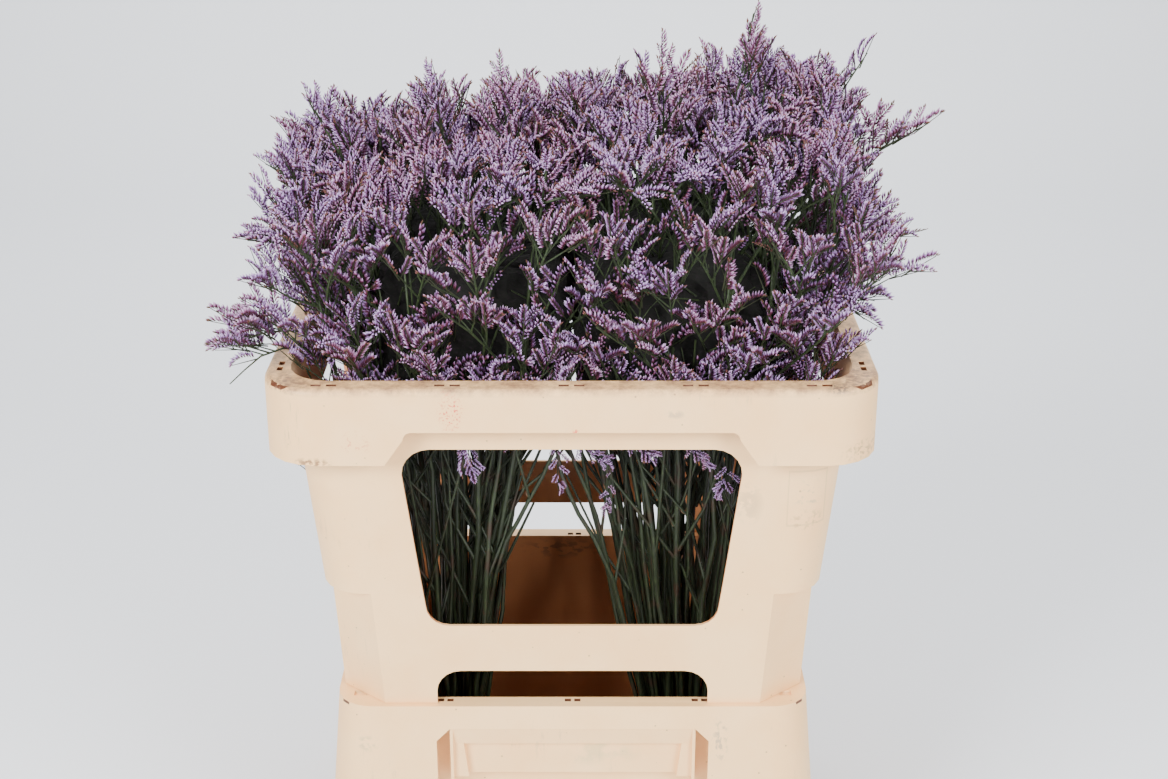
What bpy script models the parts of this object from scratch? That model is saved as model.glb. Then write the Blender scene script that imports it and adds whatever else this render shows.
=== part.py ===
"""Cut statice (sea lavender) standing in the two-part plastic container of the flower trade.

A tapered bucket holds the feet of the stems. An open collar with a window in each side stands on
the bucket's rim and keeps the flowering tops together. Six bunches of ten stems fill it, in two
columns and three rows. Units are metres, +Z is up, +Y is the rear and the origin is the middle of
the bucket's underside.
"""

import math
import random

import bmesh
import bpy
from mathutils import Vector

# Container, outside sizes at the level named. u is a height above the bucket's rim.
BUCKET_HEIGHT = 0.250
COLLAR_HEIGHT = 0.292
PLASTIC = 0.003
SEAT_GAP = 0.0003
CORNER_STEPS = 5

BASE_SIZE = (0.312, 0.250)
BODY_TOP_SIZE = (0.363, 0.302)
BUCKET_RIM_SIZE = (0.390, 0.326)
BUCKET_RIM_OPENING = (0.357, 0.296)
BUCKET_SKIRT_SIZE = (0.4064, 0.3415)
BUCKET_SKIRT_HEIGHT = 0.092
GRIP_TOP_BELOW_RIM = 0.0208
GRIP_SHOULDER_BELOW_RIM = 0.0318
GRIP_HALF_WIDTHS = (0.1015, 0.1125, 0.1115)
GRIP_CHEEK = (0.0990, 0.1015)
PAD_TOP_BELOW_RIM = 0.0373
PAD_FOOT_BELOW_RIM = 0.0693
PAD_EDGE = (0.0905, 0.0867)

FOOT_SIZE = (0.381, 0.3165)
STEP_LEVEL = 0.105
STEP_WIDTH_LOW = 0.3915
STEP_WIDTH_HIGH = 0.4035
COLLAR_TOP_WIDTH = 0.4390
FRONT_DRAFT = 0.1277
RIM_SIZE = (0.4705, 0.3885)
RIM_RADIUS = 0.042
BAND_HEIGHT_MIDDLE = 0.0343
BAND_HEIGHT_EARS = 0.0615

WINDOW_LEVELS = (0.0749, 0.2348)
WINDOW_RADII = (0.019, 0.022)
FRONT_WINDOW_HALF = (0.1175, 0.1316)
SIDE_WINDOW_HALF = (0.088, 0.100)
ARCH_TOP = 0.0315
ARCH_RADIUS = 0.020
FRONT_ARCH_HALF = 0.111
SIDE_ARCH_HALF = 0.085

# Statice. h is a height above the collar's rim.
RIM_Z = BUCKET_HEIGHT + SEAT_GAP + COLLAR_HEIGHT
FLOOR_Z = PLASTIC + SEAT_GAP
TIE_Z = 0.110
SIDES = {"left": -1, "right": 1}
ROWS = {"front": -1, "middle": 0, "rear": 1}
TIE_X = 0.104
TIE_Y = 0.082
TIP_X = (0.024, 0.070, 0.116, 0.162, 0.204)
TIP_Y_ROW = 0.112
TIP_Y_SPREAD = 0.026
HOLD_X = 0.0050
HOLD_Y = 0.0026
STEM_RADIUS = 0.0023
LOW_SPRIG = ((0.040, -0.120, -0.046), (0.036, -0.146, -0.030), (0.030, -0.169, -0.010))
FORK_RADIUS = 0.0015
FORK_FROM_MIDDLE = 0.018
LEAN_FROM_MIDDLE = 0.019
LEAN_FROM_Z = 0.200
STALK_RADIUS = 0.0014
PANICLE_LENGTH = 0.27
BRANCHES = 10
SHOOTS = 2
CORE_LEVELS = (
    (-0.055, 0.172, 0.136),
    (0.010, 0.180, 0.143),
    (0.060, 0.178, 0.139),
    (0.100, 0.152, 0.115),
    (0.122, 0.104, 0.074),
)
SPIKE_RADIUS = 0.0050
SPIKE_LENGTH = 0.040
SPIKE_SPACING = 0.0230
FILL_RADIUS = 0.0060
FILL_SPACING = 0.0235
FILL_TRIES = 800
SAMPLES = 20
CELL_GAP = 0.0006

# Sprigs that stand clear of the rest: bunch, then points outwards as (x, y, height above the rim).
OUTLIERS = (
    ("right", "middle", ((0.118, -0.018, 0.120), (0.132, -0.020, 0.190), (0.142, -0.020, 0.248))),
    ("right", "middle", ((0.165, 0.004, 0.090), (0.205, 0.002, 0.160), (0.236, 0.000, 0.213))),
    ("right", "middle", ((0.175, -0.012, 0.070), (0.238, -0.012, 0.128), (0.287, -0.010, 0.158))),
    ("right", "middle", ((0.070, -0.040, 0.100), (0.072, -0.046, 0.170), (0.069, -0.050, 0.229))),
    ("right", "front", ((0.170, -0.085, 0.050), (0.222, -0.092, 0.082), (0.262, -0.092, 0.090))),
    ("right", "front", ((0.165, -0.110, 0.030), (0.200, -0.122, 0.048), (0.226, -0.126, 0.032))),
    ("right", "rear", ((0.160, 0.080, 0.070), (0.210, 0.090, 0.125), (0.246, 0.098, 0.150))),
    ("left", "middle", ((-0.050, -0.030, 0.100), (-0.052, -0.038, 0.160), (-0.056, -0.042, 0.212))),
    ("left", "middle", ((-0.095, -0.030, 0.100), (-0.102, -0.038, 0.155), (-0.106, -0.044, 0.206))),
    ("left", "middle", ((-0.155, -0.030, 0.080), (-0.185, -0.038, 0.140), (-0.206, -0.044, 0.184))),
    ("left", "middle", ((-0.175, -0.004, 0.060), (-0.220, -0.006, 0.105), (-0.250, -0.008, 0.124))),
    ("left", "front", ((-0.175, -0.070, 0.050), (-0.222, -0.074, 0.076), (-0.256, -0.076, 0.080))),
    ("left", "front", ((-0.170, -0.118, 0.040), (-0.226, -0.150, 0.060), (-0.268, -0.172, 0.008))),
    ("left", "rear", ((-0.155, 0.080, 0.060), (-0.205, 0.092, 0.105), (-0.236, 0.100, 0.120))),
)


def material(name, colour, roughness):
    """A plain plastic or plant finish."""
    made = bpy.data.materials.new(name)
    made.use_nodes = True
    shader = made.node_tree.nodes["Principled BSDF"]
    shader.inputs["Base Color"].default_value = (*colour, 1.0)
    shader.inputs["Roughness"].default_value = roughness
    shader.inputs["Metallic"].default_value = 0.0
    return made


def mesh_object(name, shape, finish=None):
    """An object that holds the bmesh, which is freed."""
    mesh = bpy.data.meshes.new(name)
    shape.normal_update()
    shape.to_mesh(mesh)
    shape.free()
    made = bpy.data.objects.new(name, mesh)
    if finish:
        mesh.materials.append(finish)
    bpy.context.scene.collection.objects.link(made)
    return made


def rounded_rectangle(size, radius, steps=CORNER_STEPS):
    """Points round a rectangle with round corners, anticlockwise from above."""
    half_x, half_y = size[0] / 2 - radius, size[1] / 2 - radius
    corners = ((half_x, half_y), (-half_x, half_y), (-half_x, -half_y), (half_x, -half_y))
    points = []
    for quarter, (x, y) in enumerate(corners):
        for step in range(steps + 1):
            angle = math.pi / 2 * (quarter + step / steps)
            points.append((x + radius * math.cos(angle), y + radius * math.sin(angle)))
    return points


def chamfered_rectangle(size, cut):
    """Points round a rectangle with its corners cut off flat, anticlockwise from above."""
    half_x, half_y = size[0] / 2, size[1] / 2
    points = []
    for sign_x, sign_y in ((1, 1), (-1, 1), (-1, -1), (1, -1)):
        on_side = (sign_x * half_x, sign_y * (half_y - cut[1]))
        on_front = (sign_x * (half_x - cut[0]), sign_y * half_y)
        points += [on_side, on_front] if sign_x * sign_y > 0 else [on_front, on_side]
    return points


def loft(sections):
    """A closed shape through outlines with equal numbers of points, lowest first."""
    shape = bmesh.new()
    rings = [[shape.verts.new(point) for point in section] for section in sections]
    for low, high in zip(rings, rings[1:]):
        for i in range(len(low)):
            j = (i + 1) % len(low)
            shape.faces.new((low[i], low[j], high[j], high[i]))
    shape.faces.new(rings[0][::-1])
    shape.faces.new(rings[-1])
    return shape


def at_height(outline, z):
    return [(x, y, z) for x, y in outline]


def shell_loft(name, levels, finish=None):
    """A loft through (outline, height) pairs, as an object."""
    return mesh_object(name, loft([at_height(outline, z) for outline, z in levels]), finish)


def window_outline(halves, levels, radii, steps=CORNER_STEPS):
    """A trapezium with round corners, as (across, height) points."""
    low, high = levels
    corners = (
        (halves[1], high, radii[1], 0),
        (-halves[1], high, radii[1], 1),
        (-halves[0], low, radii[0], 2),
        (halves[0], low, radii[0], 3),
    )
    points = []
    for across, height, radius, quarter in corners:
        centre_across = across - math.copysign(radius, across)
        centre_height = height - radius if height == high else height + radius
        for step in range(steps + 1):
            angle = math.pi / 2 * (quarter + step / steps)
            points.append((centre_across + radius * math.cos(angle), centre_height + radius * math.sin(angle)))
    return points


def prism(name, outline, near, far, along):
    """An (across, height) outline pushed from near to far along Y or X."""
    if along == "Y":
        sections = [[(a, far, z) for a, z in outline], [(a, near, z) for a, z in outline]]
    else:
        sections = [[(near, a, z) for a, z in outline], [(far, a, z) for a, z in outline]]
    return mesh_object(name, loft(sections))


def boolean(target, helper, operation):
    """Cuts or joins with a helper, which stays out of the render."""
    modifier = target.modifiers.new(f"{operation.lower()} {helper.name}", "BOOLEAN")
    modifier.operation = operation
    modifier.object = helper
    modifier.solver = "EXACT"
    helper.hide_render = True
    helper.display_type = "WIRE"


def shrunk(size, wall=PLASTIC):
    return (size[0] - 2 * wall, size[1] - 2 * wall)


def make_bucket(finish):
    """The lower container: a tapered body whose flat rim turns down into a skirt with two grips."""
    top = BUCKET_HEIGHT
    skirt_foot = top - BUCKET_SKIRT_HEIGHT
    rim = rounded_rectangle(BUCKET_RIM_SIZE, 0.030)
    skirt = rounded_rectangle(BUCKET_SKIRT_SIZE, 0.034)
    bucket = shell_loft("bucket", [(skirt, skirt_foot), (rim, top)], finish)
    inner_rim = rounded_rectangle(shrunk(BUCKET_RIM_SIZE), 0.027)
    inner_skirt = rounded_rectangle(shrunk(BUCKET_SKIRT_SIZE), 0.031)
    hollow = shell_loft("bucket_skirt_hollow", [(inner_skirt, skirt_foot - 0.001), (inner_rim, top - PLASTIC)])
    boolean(bucket, hollow, "DIFFERENCE")
    for sign in (-1, 1):
        near, far = sorted((sign * 0.150, sign * 0.200))
        upper, shoulder, lower = GRIP_HALF_WIDTHS
        grip_top, grip_shoulder = top - GRIP_TOP_BELOW_RIM, top - GRIP_SHOULDER_BELOW_RIM
        grip_foot = skirt_foot - 0.02
        outline = [(upper, grip_top), (-upper, grip_top), (-shoulder, grip_shoulder), (-lower, grip_foot)]
        outline += [(lower, grip_foot), (shoulder, grip_shoulder)]
        grip = prism(f"bucket_grip_{'rear' if sign > 0 else 'front'}", outline, near, far, "Y")
        boolean(bucket, grip, "DIFFERENCE")
    base = rounded_rectangle(BASE_SIZE, 0.030)
    body_top = rounded_rectangle(BODY_TOP_SIZE, 0.035)
    body = shell_loft("bucket_body", [(base, 0.0), (body_top, top - PLASTIC / 2)])
    boolean(bucket, body, "UNION")
    pad_top, pad_foot = top - PAD_TOP_BELOW_RIM, top - PAD_FOOT_BELOW_RIM
    for sign in (-1, 1):
        end = "rear" if sign > 0 else "front"
        # The recess's roof slopes down and inwards to the pad.
        roof, sill = grip_top + 0.002, pad_top - 0.0003
        outline = [(0.1640, roof), (0.134, roof), (0.134, sill), (0.1600, sill)]
        if sign < 0:
            outline = [(-y, z) for y, z in outline[::-1]]
        boolean(bucket, prism(f"bucket_slope_{end}", outline, -0.1000, 0.1000, "X"), "UNION")
        near, far = sorted((sign * 0.134, sign * 0.1545))
        outline = [(0.0912, pad_top), (-0.0912, pad_top), (-0.0880, pad_foot), (0.0880, pad_foot)]
        boolean(bucket, prism(f"bucket_pad_{end}", outline, near, far, "Y"), "UNION")
        for side in (-1, 1):
            # The frame beside the pad, and the upright rib beside the frame.
            near, far = sorted((sign * 0.133, sign * 0.1598))
            inner_top, inner_foot = PAD_EDGE
            high, low = pad_top + 0.0001, pad_foot - 0.0005
            outline = [(0.1003, high), (inner_top, high), (inner_foot, low), (0.1003, low)]
            if side < 0:
                outline = [(-x, z) for x, z in outline[::-1]]
            boolean(bucket, prism(f"bucket_frame_{end}_{side}", outline, near, far, "Y"), "UNION")
            low, high = sorted(side * x for x in GRIP_CHEEK)
            near, far = sorted((sign * 0.1335, sign * 0.1636))
            levels = (skirt_foot + 0.012, grip_top + 0.004)
            outline = [(high, levels[1]), (low, levels[1]), (low, levels[0]), (high, levels[0])]
            boolean(bucket, prism(f"bucket_cheek_{end}_{side}", outline, near, far, "Y"), "UNION")
    cavity_foot = rounded_rectangle(shrunk(BASE_SIZE), 0.027)
    opening = rounded_rectangle(BUCKET_RIM_OPENING, 0.032)
    above = rounded_rectangle((BUCKET_RIM_OPENING[0] + 0.002, BUCKET_RIM_OPENING[1] + 0.002), 0.032)
    cavity = shell_loft("bucket_cavity", [(cavity_foot, PLASTIC), (opening, top - PLASTIC), (above, top + 0.01)])
    boolean(bucket, cavity, "DIFFERENCE")
    return bucket


def collar_depth(u):
    """Outside depth of the collar's wall, whose front and rear faces lean out evenly."""
    return FOOT_SIZE[1] + FRONT_DRAFT * u


def collar_width(u):
    """Outside width of the collar's wall above its step."""
    rise = (COLLAR_TOP_WIDTH - STEP_WIDTH_HIGH) / (COLLAR_HEIGHT - STEP_LEVEL)
    return STEP_WIDTH_HIGH + rise * (u - STEP_LEVEL)


def foot_section(u, wall):
    """The chamfered outline of the collar's lower part, inset by a wall."""
    share = u / STEP_LEVEL
    width = FOOT_SIZE[0] + (STEP_WIDTH_LOW - FOOT_SIZE[0]) * share
    cut = (0.0363 - 0.0013 * share, 0.0310)
    return chamfered_rectangle((width - 2 * wall, collar_depth(u) - 0.0006 - 2 * wall), cut)


def wall_section(u, wall):
    """The rounded outline of the collar's upper part, inset by a wall."""
    size = (collar_width(u) - 2 * wall, collar_depth(u) - 2 * wall)
    return rounded_rectangle(size, 0.036 - wall)


def make_collar(finish):
    """The upper frame: windows on four sides, feet between arches, and a rim with hanging ears."""
    base = BUCKET_HEIGHT + SEAT_GAP
    band_foot = base + COLLAR_HEIGHT - BAND_HEIGHT_EARS
    top = base + COLLAR_HEIGHT
    band = rounded_rectangle(RIM_SIZE, RIM_RADIUS)
    inner_band = rounded_rectangle(shrunk(RIM_SIZE), RIM_RADIUS - PLASTIC)
    collar = shell_loft("collar", [(band, band_foot), (band, top)], finish)
    boolean(collar, shell_loft("band_hollow", [(inner_band, band_foot - 0.001), (inner_band, top - PLASTIC)]), "DIFFERENCE")
    notch_levels = (band_foot - 0.030, top - BAND_HEIGHT_MIDDLE)
    for sign in (-1, 1):
        outline = window_outline((0.160, 0.127), notch_levels, (0.004, 0.006))
        near, far = sorted((sign * 0.184, sign * 0.210))
        boolean(collar, prism(f"band_notch_y{sign}", outline, near, far, "Y"), "DIFFERENCE")
        outline = window_outline((0.124, 0.091), notch_levels, (0.004, 0.006))
        near, far = sorted((sign * 0.2165, sign * 0.240))
        boolean(collar, prism(f"band_notch_x{sign}", outline, near, far, "X"), "DIFFERENCE")
    overlap = STEP_LEVEL + 0.005
    low = shell_loft("collar_low", [(foot_section(u, 0), base + u) for u in (0.0, overlap)])
    high = shell_loft("collar_high", [(wall_section(u, 0), base + u) for u in (STEP_LEVEL, COLLAR_HEIGHT - 0.001)])
    boolean(collar, low, "UNION")
    boolean(collar, high, "UNION")
    inner_low = shell_loft("collar_low_inside", [(foot_section(u, PLASTIC), base + u) for u in (-0.010, overlap)])
    levels = (STEP_LEVEL + PLASTIC, COLLAR_HEIGHT + 0.010)
    inner_high = shell_loft("collar_high_inside", [(wall_section(u, PLASTIC), base + u) for u in levels])
    boolean(collar, inner_low, "DIFFERENCE")
    boolean(collar, inner_high, "DIFFERENCE")
    window_levels = tuple(base + u for u in WINDOW_LEVELS)
    arch_levels = (base - 0.050, base + ARCH_TOP)
    arch_radii = (0.005, ARCH_RADIUS)
    for name, halves, levels, radii, along, reach in (
        ("window_front_rear", FRONT_WINDOW_HALF, window_levels, WINDOW_RADII, "Y", 0.186),
        ("window_left_right", SIDE_WINDOW_HALF, window_levels, WINDOW_RADII, "X", 0.2175),
        ("arch_front_rear", (FRONT_ARCH_HALF,) * 2, arch_levels, arch_radii, "Y", 0.186),
        ("arch_left_right", (SIDE_ARCH_HALF,) * 2, arch_levels, arch_radii, "X", 0.2175),
    ):
        outline = window_outline(halves, levels, radii)
        boolean(collar, prism(name, outline, -reach, reach, along), "DIFFERENCE")
    return collar


def row_boundary(z):
    """How far from the middle the front and rear bunches begin at a height."""
    return 0.0545 + 0.031 * (z - RIM_Z)


def kept_in_cell(point, side, row, margin):
    """The point, moved where needed so that it stays among its own bunch."""
    x, y, z = point
    x = SIDES[side] * max(SIDES[side] * x, margin)
    limit = row_boundary(z)
    if ROWS[row]:
        y = ROWS[row] * max(ROWS[row] * y, limit + margin)
    else:
        y = min(max(y, margin - limit), limit - margin)
    return Vector((x, y, z))


def clearance(point):
    """How far a point beside or above the collar's upper part is from its wall or rim."""
    h = point.z - RIM_Z
    u = min(COLLAR_HEIGHT, COLLAR_HEIGHT + h)
    radius = 0.033
    over_x = abs(point.x) - (collar_width(u) / 2 - PLASTIC - radius)
    over_y = abs(point.y) - (collar_depth(u) / 2 - PLASTIC - radius)
    outside = math.hypot(max(over_x, 0), max(over_y, 0)) + min(max(over_x, over_y), 0) - radius
    return -outside if h <= 0 else max(h, -outside)


def crown_height(x, y):
    """How far the tips stand above the rim: highest on the right, lower towards the edges."""
    return 0.172 + 0.110 * x - 0.020 * (y / 0.14) ** 2


def turned(direction, axis, angle):
    """A direction turned about an axis at right angles to it."""
    return direction * math.cos(angle) + axis.cross(direction) * math.sin(angle)


def plan_branch(pick, points):
    """A branch and the shoots that fork from its outer half, each a (start, tip) pair."""
    root, middle, end = points
    along = (end - middle).normalized()
    shoots = []
    spin = pick.uniform(0, 2 * math.pi)
    for k in range(SHOOTS):
        angle = spin + math.pi * k + pick.uniform(-0.5, 0.5)
        across = along.orthogonal().normalized()
        axis = across * math.cos(angle) + along.cross(across) * math.sin(angle)
        start = middle.lerp(end, pick.uniform(0.05, 0.45))
        heading = turned(along, axis, math.radians(pick.uniform(36, 58)))
        shoots.append((start, start + heading * pick.uniform(0.036, 0.046)))
    return {"path": [root, middle, end], "shoots": shoots}


def plan_stem(side, row, place):
    """One stem of a bunch: its axis from foot to tip, and its primary branches."""
    pick = random.Random(f"stem {side} {row} {place}")
    column, lane = divmod(place, 2)
    tie = Vector((SIDES[side] * TIE_X, ROWS[row] * TIE_Y, TIE_Z))
    tip_x = SIDES[side] * TIP_X[column] + pick.uniform(-0.012, 0.012)
    tip_y = ROWS[row] * TIP_Y_ROW + (2 * lane - 1) * TIP_Y_SPREAD + pick.uniform(-0.010, 0.010)
    tip = Vector((tip_x, tip_y, RIM_Z + crown_height(tip_x, tip_y) + pick.uniform(-0.022, 0.018)))
    waist = tie + Vector((SIDES[side] * (column - 2) * HOLD_X, (2 * lane - 1) * HOLD_Y, 0))
    foot = tie + (waist - tie) * 1.15
    foot.z = FLOOR_Z
    lean = (tip - waist) / (tip.z - waist.z)

    def axis(z):
        if z < waist.z:
            return foot.lerp(waist, (z - foot.z) / (waist.z - foot.z))
        return waist + lean * (z - waist.z)

    branches = []
    start_angle = pick.uniform(0, 2 * math.pi)
    upward = lean.normalized()
    for k in range(BRANCHES):
        t = k / (BRANCHES - 1)
        root = axis(tip.z - PANICLE_LENGTH * (1 - 0.88 * t) + pick.uniform(-0.008, 0.008))
        length = 0.050 + 0.095 * (1 - t) ** 0.8 + pick.uniform(-0.012, 0.012)
        angle = start_angle + 2.4 * k + pick.uniform(-0.4, 0.4)
        tilt = math.radians(50 - 20 * t + pick.uniform(-8, 8))
        outward = Vector((math.cos(angle), math.sin(angle), 0))
        out_share, up_share = math.sin(tilt), math.cos(tilt)
        middle = root + (outward * out_share + upward * up_share) * length * 0.55
        end = middle + (outward * (out_share + 0.12) + upward * (up_share - 0.10)) * length * 0.45
        branches.append(plan_branch(pick, (root, middle, end)))
    leader = plan_branch(pick, (axis(tip.z - 0.10), axis(tip.z - 0.045), tip))
    return {"axis": axis, "foot": foot, "leader": leader, "branches": branches}


def tube(points, radii, sides):
    """A closed tube along points. A last radius of zero makes a pointed tip."""
    shape = bmesh.new()
    rings = []
    for i, point in enumerate(points):
        before, after = points[max(i - 1, 0)], points[min(i + 1, len(points) - 1)]
        along = (after - before).normalized()
        across = along.orthogonal().normalized()
        beside = along.cross(across)
        if radii[i] == 0:
            rings.append([shape.verts.new(point)])
            continue
        ring = []
        for k in range(sides):
            angle = 2 * math.pi * k / sides
            ring.append(shape.verts.new(point + (across * math.cos(angle) + beside * math.sin(angle)) * radii[i]))
        rings.append(ring)
    for low, high in zip(rings, rings[1:]):
        for i in range(sides):
            j = (i + 1) % sides
            if len(high) == 1:
                shape.faces.new((low[i], low[j], high[0]))
            else:
                shape.faces.new((low[i], low[j], high[j], high[i]))
    shape.faces.new(rings[0][::-1])
    if len(rings[-1]) > 1:
        shape.faces.new(rings[-1])
    return shape


def level_stem(points, radius, sides):
    """A tube whose rings all lie level, so that its two cut ends are flat."""
    sections = []
    for point in points:
        ring = []
        for k in range(sides):
            angle = 2 * math.pi * (k + 0.5) / sides
            ring.append((point.x + radius * math.cos(angle), point.y + radius * math.sin(angle), point.z))
        sections.append(ring)
    return loft(sections)


def tidy_triangles(mesh):
    """Splits a fused mesh into triangles and drops its closed pockets and loose slivers."""
    shape = bmesh.new()
    shape.from_mesh(mesh)
    bmesh.ops.remove_doubles(shape, verts=shape.verts[:], dist=0.000003)
    bmesh.ops.triangulate(shape, faces=shape.faces[:])
    left, bodies = set(shape.faces), []
    while left:
        front = [left.pop()]
        body = list(front)
        while front:
            for edge in front.pop().edges:
                if len(edge.link_faces) != 2:
                    continue
                for other in edge.link_faces:
                    if other in left:
                        left.remove(other)
                        body.append(other)
                        front.append(other)
        bodies.append(body)
    bodies.sort(key=len)
    spare = [face for body in bodies[:-1] for face in body]
    bmesh.ops.delete(shape, geom=spare, context="FACES")
    faults = [(edge.verts[0].co + edge.verts[1].co) / 2 for edge in shape.edges if len(edge.link_faces) != 2]
    shape.to_mesh(mesh)
    shape.free()
    return faults


def distance_to(piece, point):
    """How far a point is from a piece's surface."""
    return (piece.closest_point_on_mesh(point)[1] - point).length


def fuse(base, pieces):
    """Joins a node's repeats into its base by one union, and removes them.

    A repeat whose faces meet another's in a single shared edge is left out.
    """
    together = bpy.data.collections.new(f"{base.name}_pieces")
    bpy.context.scene.collection.children.link(together)
    for piece in pieces:
        bpy.context.scene.collection.objects.unlink(piece)
        together.objects.link(piece)
    modifier = base.modifiers.new("fused", "BOOLEAN")
    modifier.operation = "UNION"
    modifier.operand_type = "COLLECTION"
    modifier.collection = together
    modifier.solver = "MANIFOLD"
    while True:
        graph = bpy.context.evaluated_depsgraph_get()
        fused = bpy.data.meshes.new_from_object(base.evaluated_get(graph))
        faults = tidy_triangles(fused)
        if not faults:
            break
        blamed = {min(reversed(pieces), key=lambda piece: distance_to(piece, fault)) for fault in faults}
        for piece in blamed:
            pieces.remove(piece)
            bpy.data.objects.remove(piece)
    base.modifiers.remove(modifier)
    base.data = fused
    for piece in pieces:
        bpy.data.objects.remove(piece)
    bpy.data.collections.remove(together)
    return base


def make_stems(side, row, stems, finish):
    """The bare stems of a bunch, crossing at its waist, up to the underside of its flowers."""
    top = RIM_Z + CORE_LEVELS[0][0] - SEAT_GAP
    pieces = []
    for place, stem in enumerate(stems):
        points = [stem["foot"], stem["axis"](TIE_Z), stem["axis"](top)]
        name = f"stem_{side}_{row}_{place}"
        pieces.append(mesh_object(name, level_stem(points, STEM_RADIUS, 4)))
        branch = stem["branches"][0]["path"]
        start = stem["axis"](branch[0].z - 0.085)
        reach = start.lerp(branch[2], (top - start.z) / (branch[2].z - start.z))
        reach = kept_in_cell(reach, side, row, 0.004)
        reach.x = SIDES[side] * max(SIDES[side] * reach.x, FORK_FROM_MIDDLE)
        while clearance(reach) < 0.010:
            reach = reach.lerp(stem["axis"](top), 0.2)
        pieces.append(mesh_object(f"{name}_fork", level_stem([start, reach], FORK_RADIUS, 3)))
        if place == 0:
            # One long fork of each bunch leans towards the middle.
            reach = Vector((SIDES[side] * LEAN_FROM_MIDDLE, stem["axis"](top).y, top))
            pieces.append(mesh_object(f"{name}_lean", level_stem([stem["axis"](LEAN_FROM_Z), reach], FORK_RADIUS, 3)))
    outline = chamfered_rectangle((4 * HOLD_X + 0.0066, 2 * HOLD_Y + 0.0066), (0.0015, 0.0015))
    centre = Vector((SIDES[side] * TIE_X, ROWS[row] * TIE_Y))
    outline = [(x + centre.x, y + centre.y) for x, y in outline]
    base = shell_loft(f"stems_{side}_{row}", [(outline, TIE_Z - 0.008), (outline, TIE_Z + 0.008)], finish)
    return fuse(base, pieces)


def core_hull(side, row):
    """The bunch's share of the dense middle, cut flat where it meets its neighbours."""
    sections = []
    for h, half_x, half_y in CORE_LEVELS:
        outline = rounded_rectangle((2 * half_x, 2 * half_y), min(half_x, half_y) * 0.45, 3)
        sections.append(at_height(outline, RIM_Z + h))
    shape = loft(sections)
    cuts = [(Vector((0, 0, 0)), Vector((-SIDES[side], 0, 0)))]
    signs = [ROWS[row]] if ROWS[row] else [1, -1]
    for sign in signs:
        edge = Vector((0, sign * row_boundary(RIM_Z), RIM_Z))
        slope = Vector((0, sign, -0.031))
        cuts.append((edge, -slope if ROWS[row] else slope))
    for point, outward in cuts:
        outward.normalize()
        faces = shape.verts[:] + shape.edges[:] + shape.faces[:]
        bmesh.ops.bisect_plane(
            shape, geom=faces, plane_co=point - outward * CELL_GAP, plane_no=outward, clear_outer=True
        )
    corners = [vert.co.copy() for vert in shape.verts]
    shape.free()
    core = bmesh.new()
    for corner in corners:
        core.verts.new(corner)
    hull = bmesh.ops.convex_hull(core, input=core.verts[:])
    loose = [item for item in hull["geom_interior"] + hull["geom_unused"] if isinstance(item, bmesh.types.BMVert)]
    bmesh.ops.delete(core, geom=list(set(loose)), context="VERTS")
    bmesh.ops.dissolve_limit(core, angle_limit=0.002, verts=core.verts[:], edges=core.edges[:])
    core.normal_update()
    return core


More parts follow.
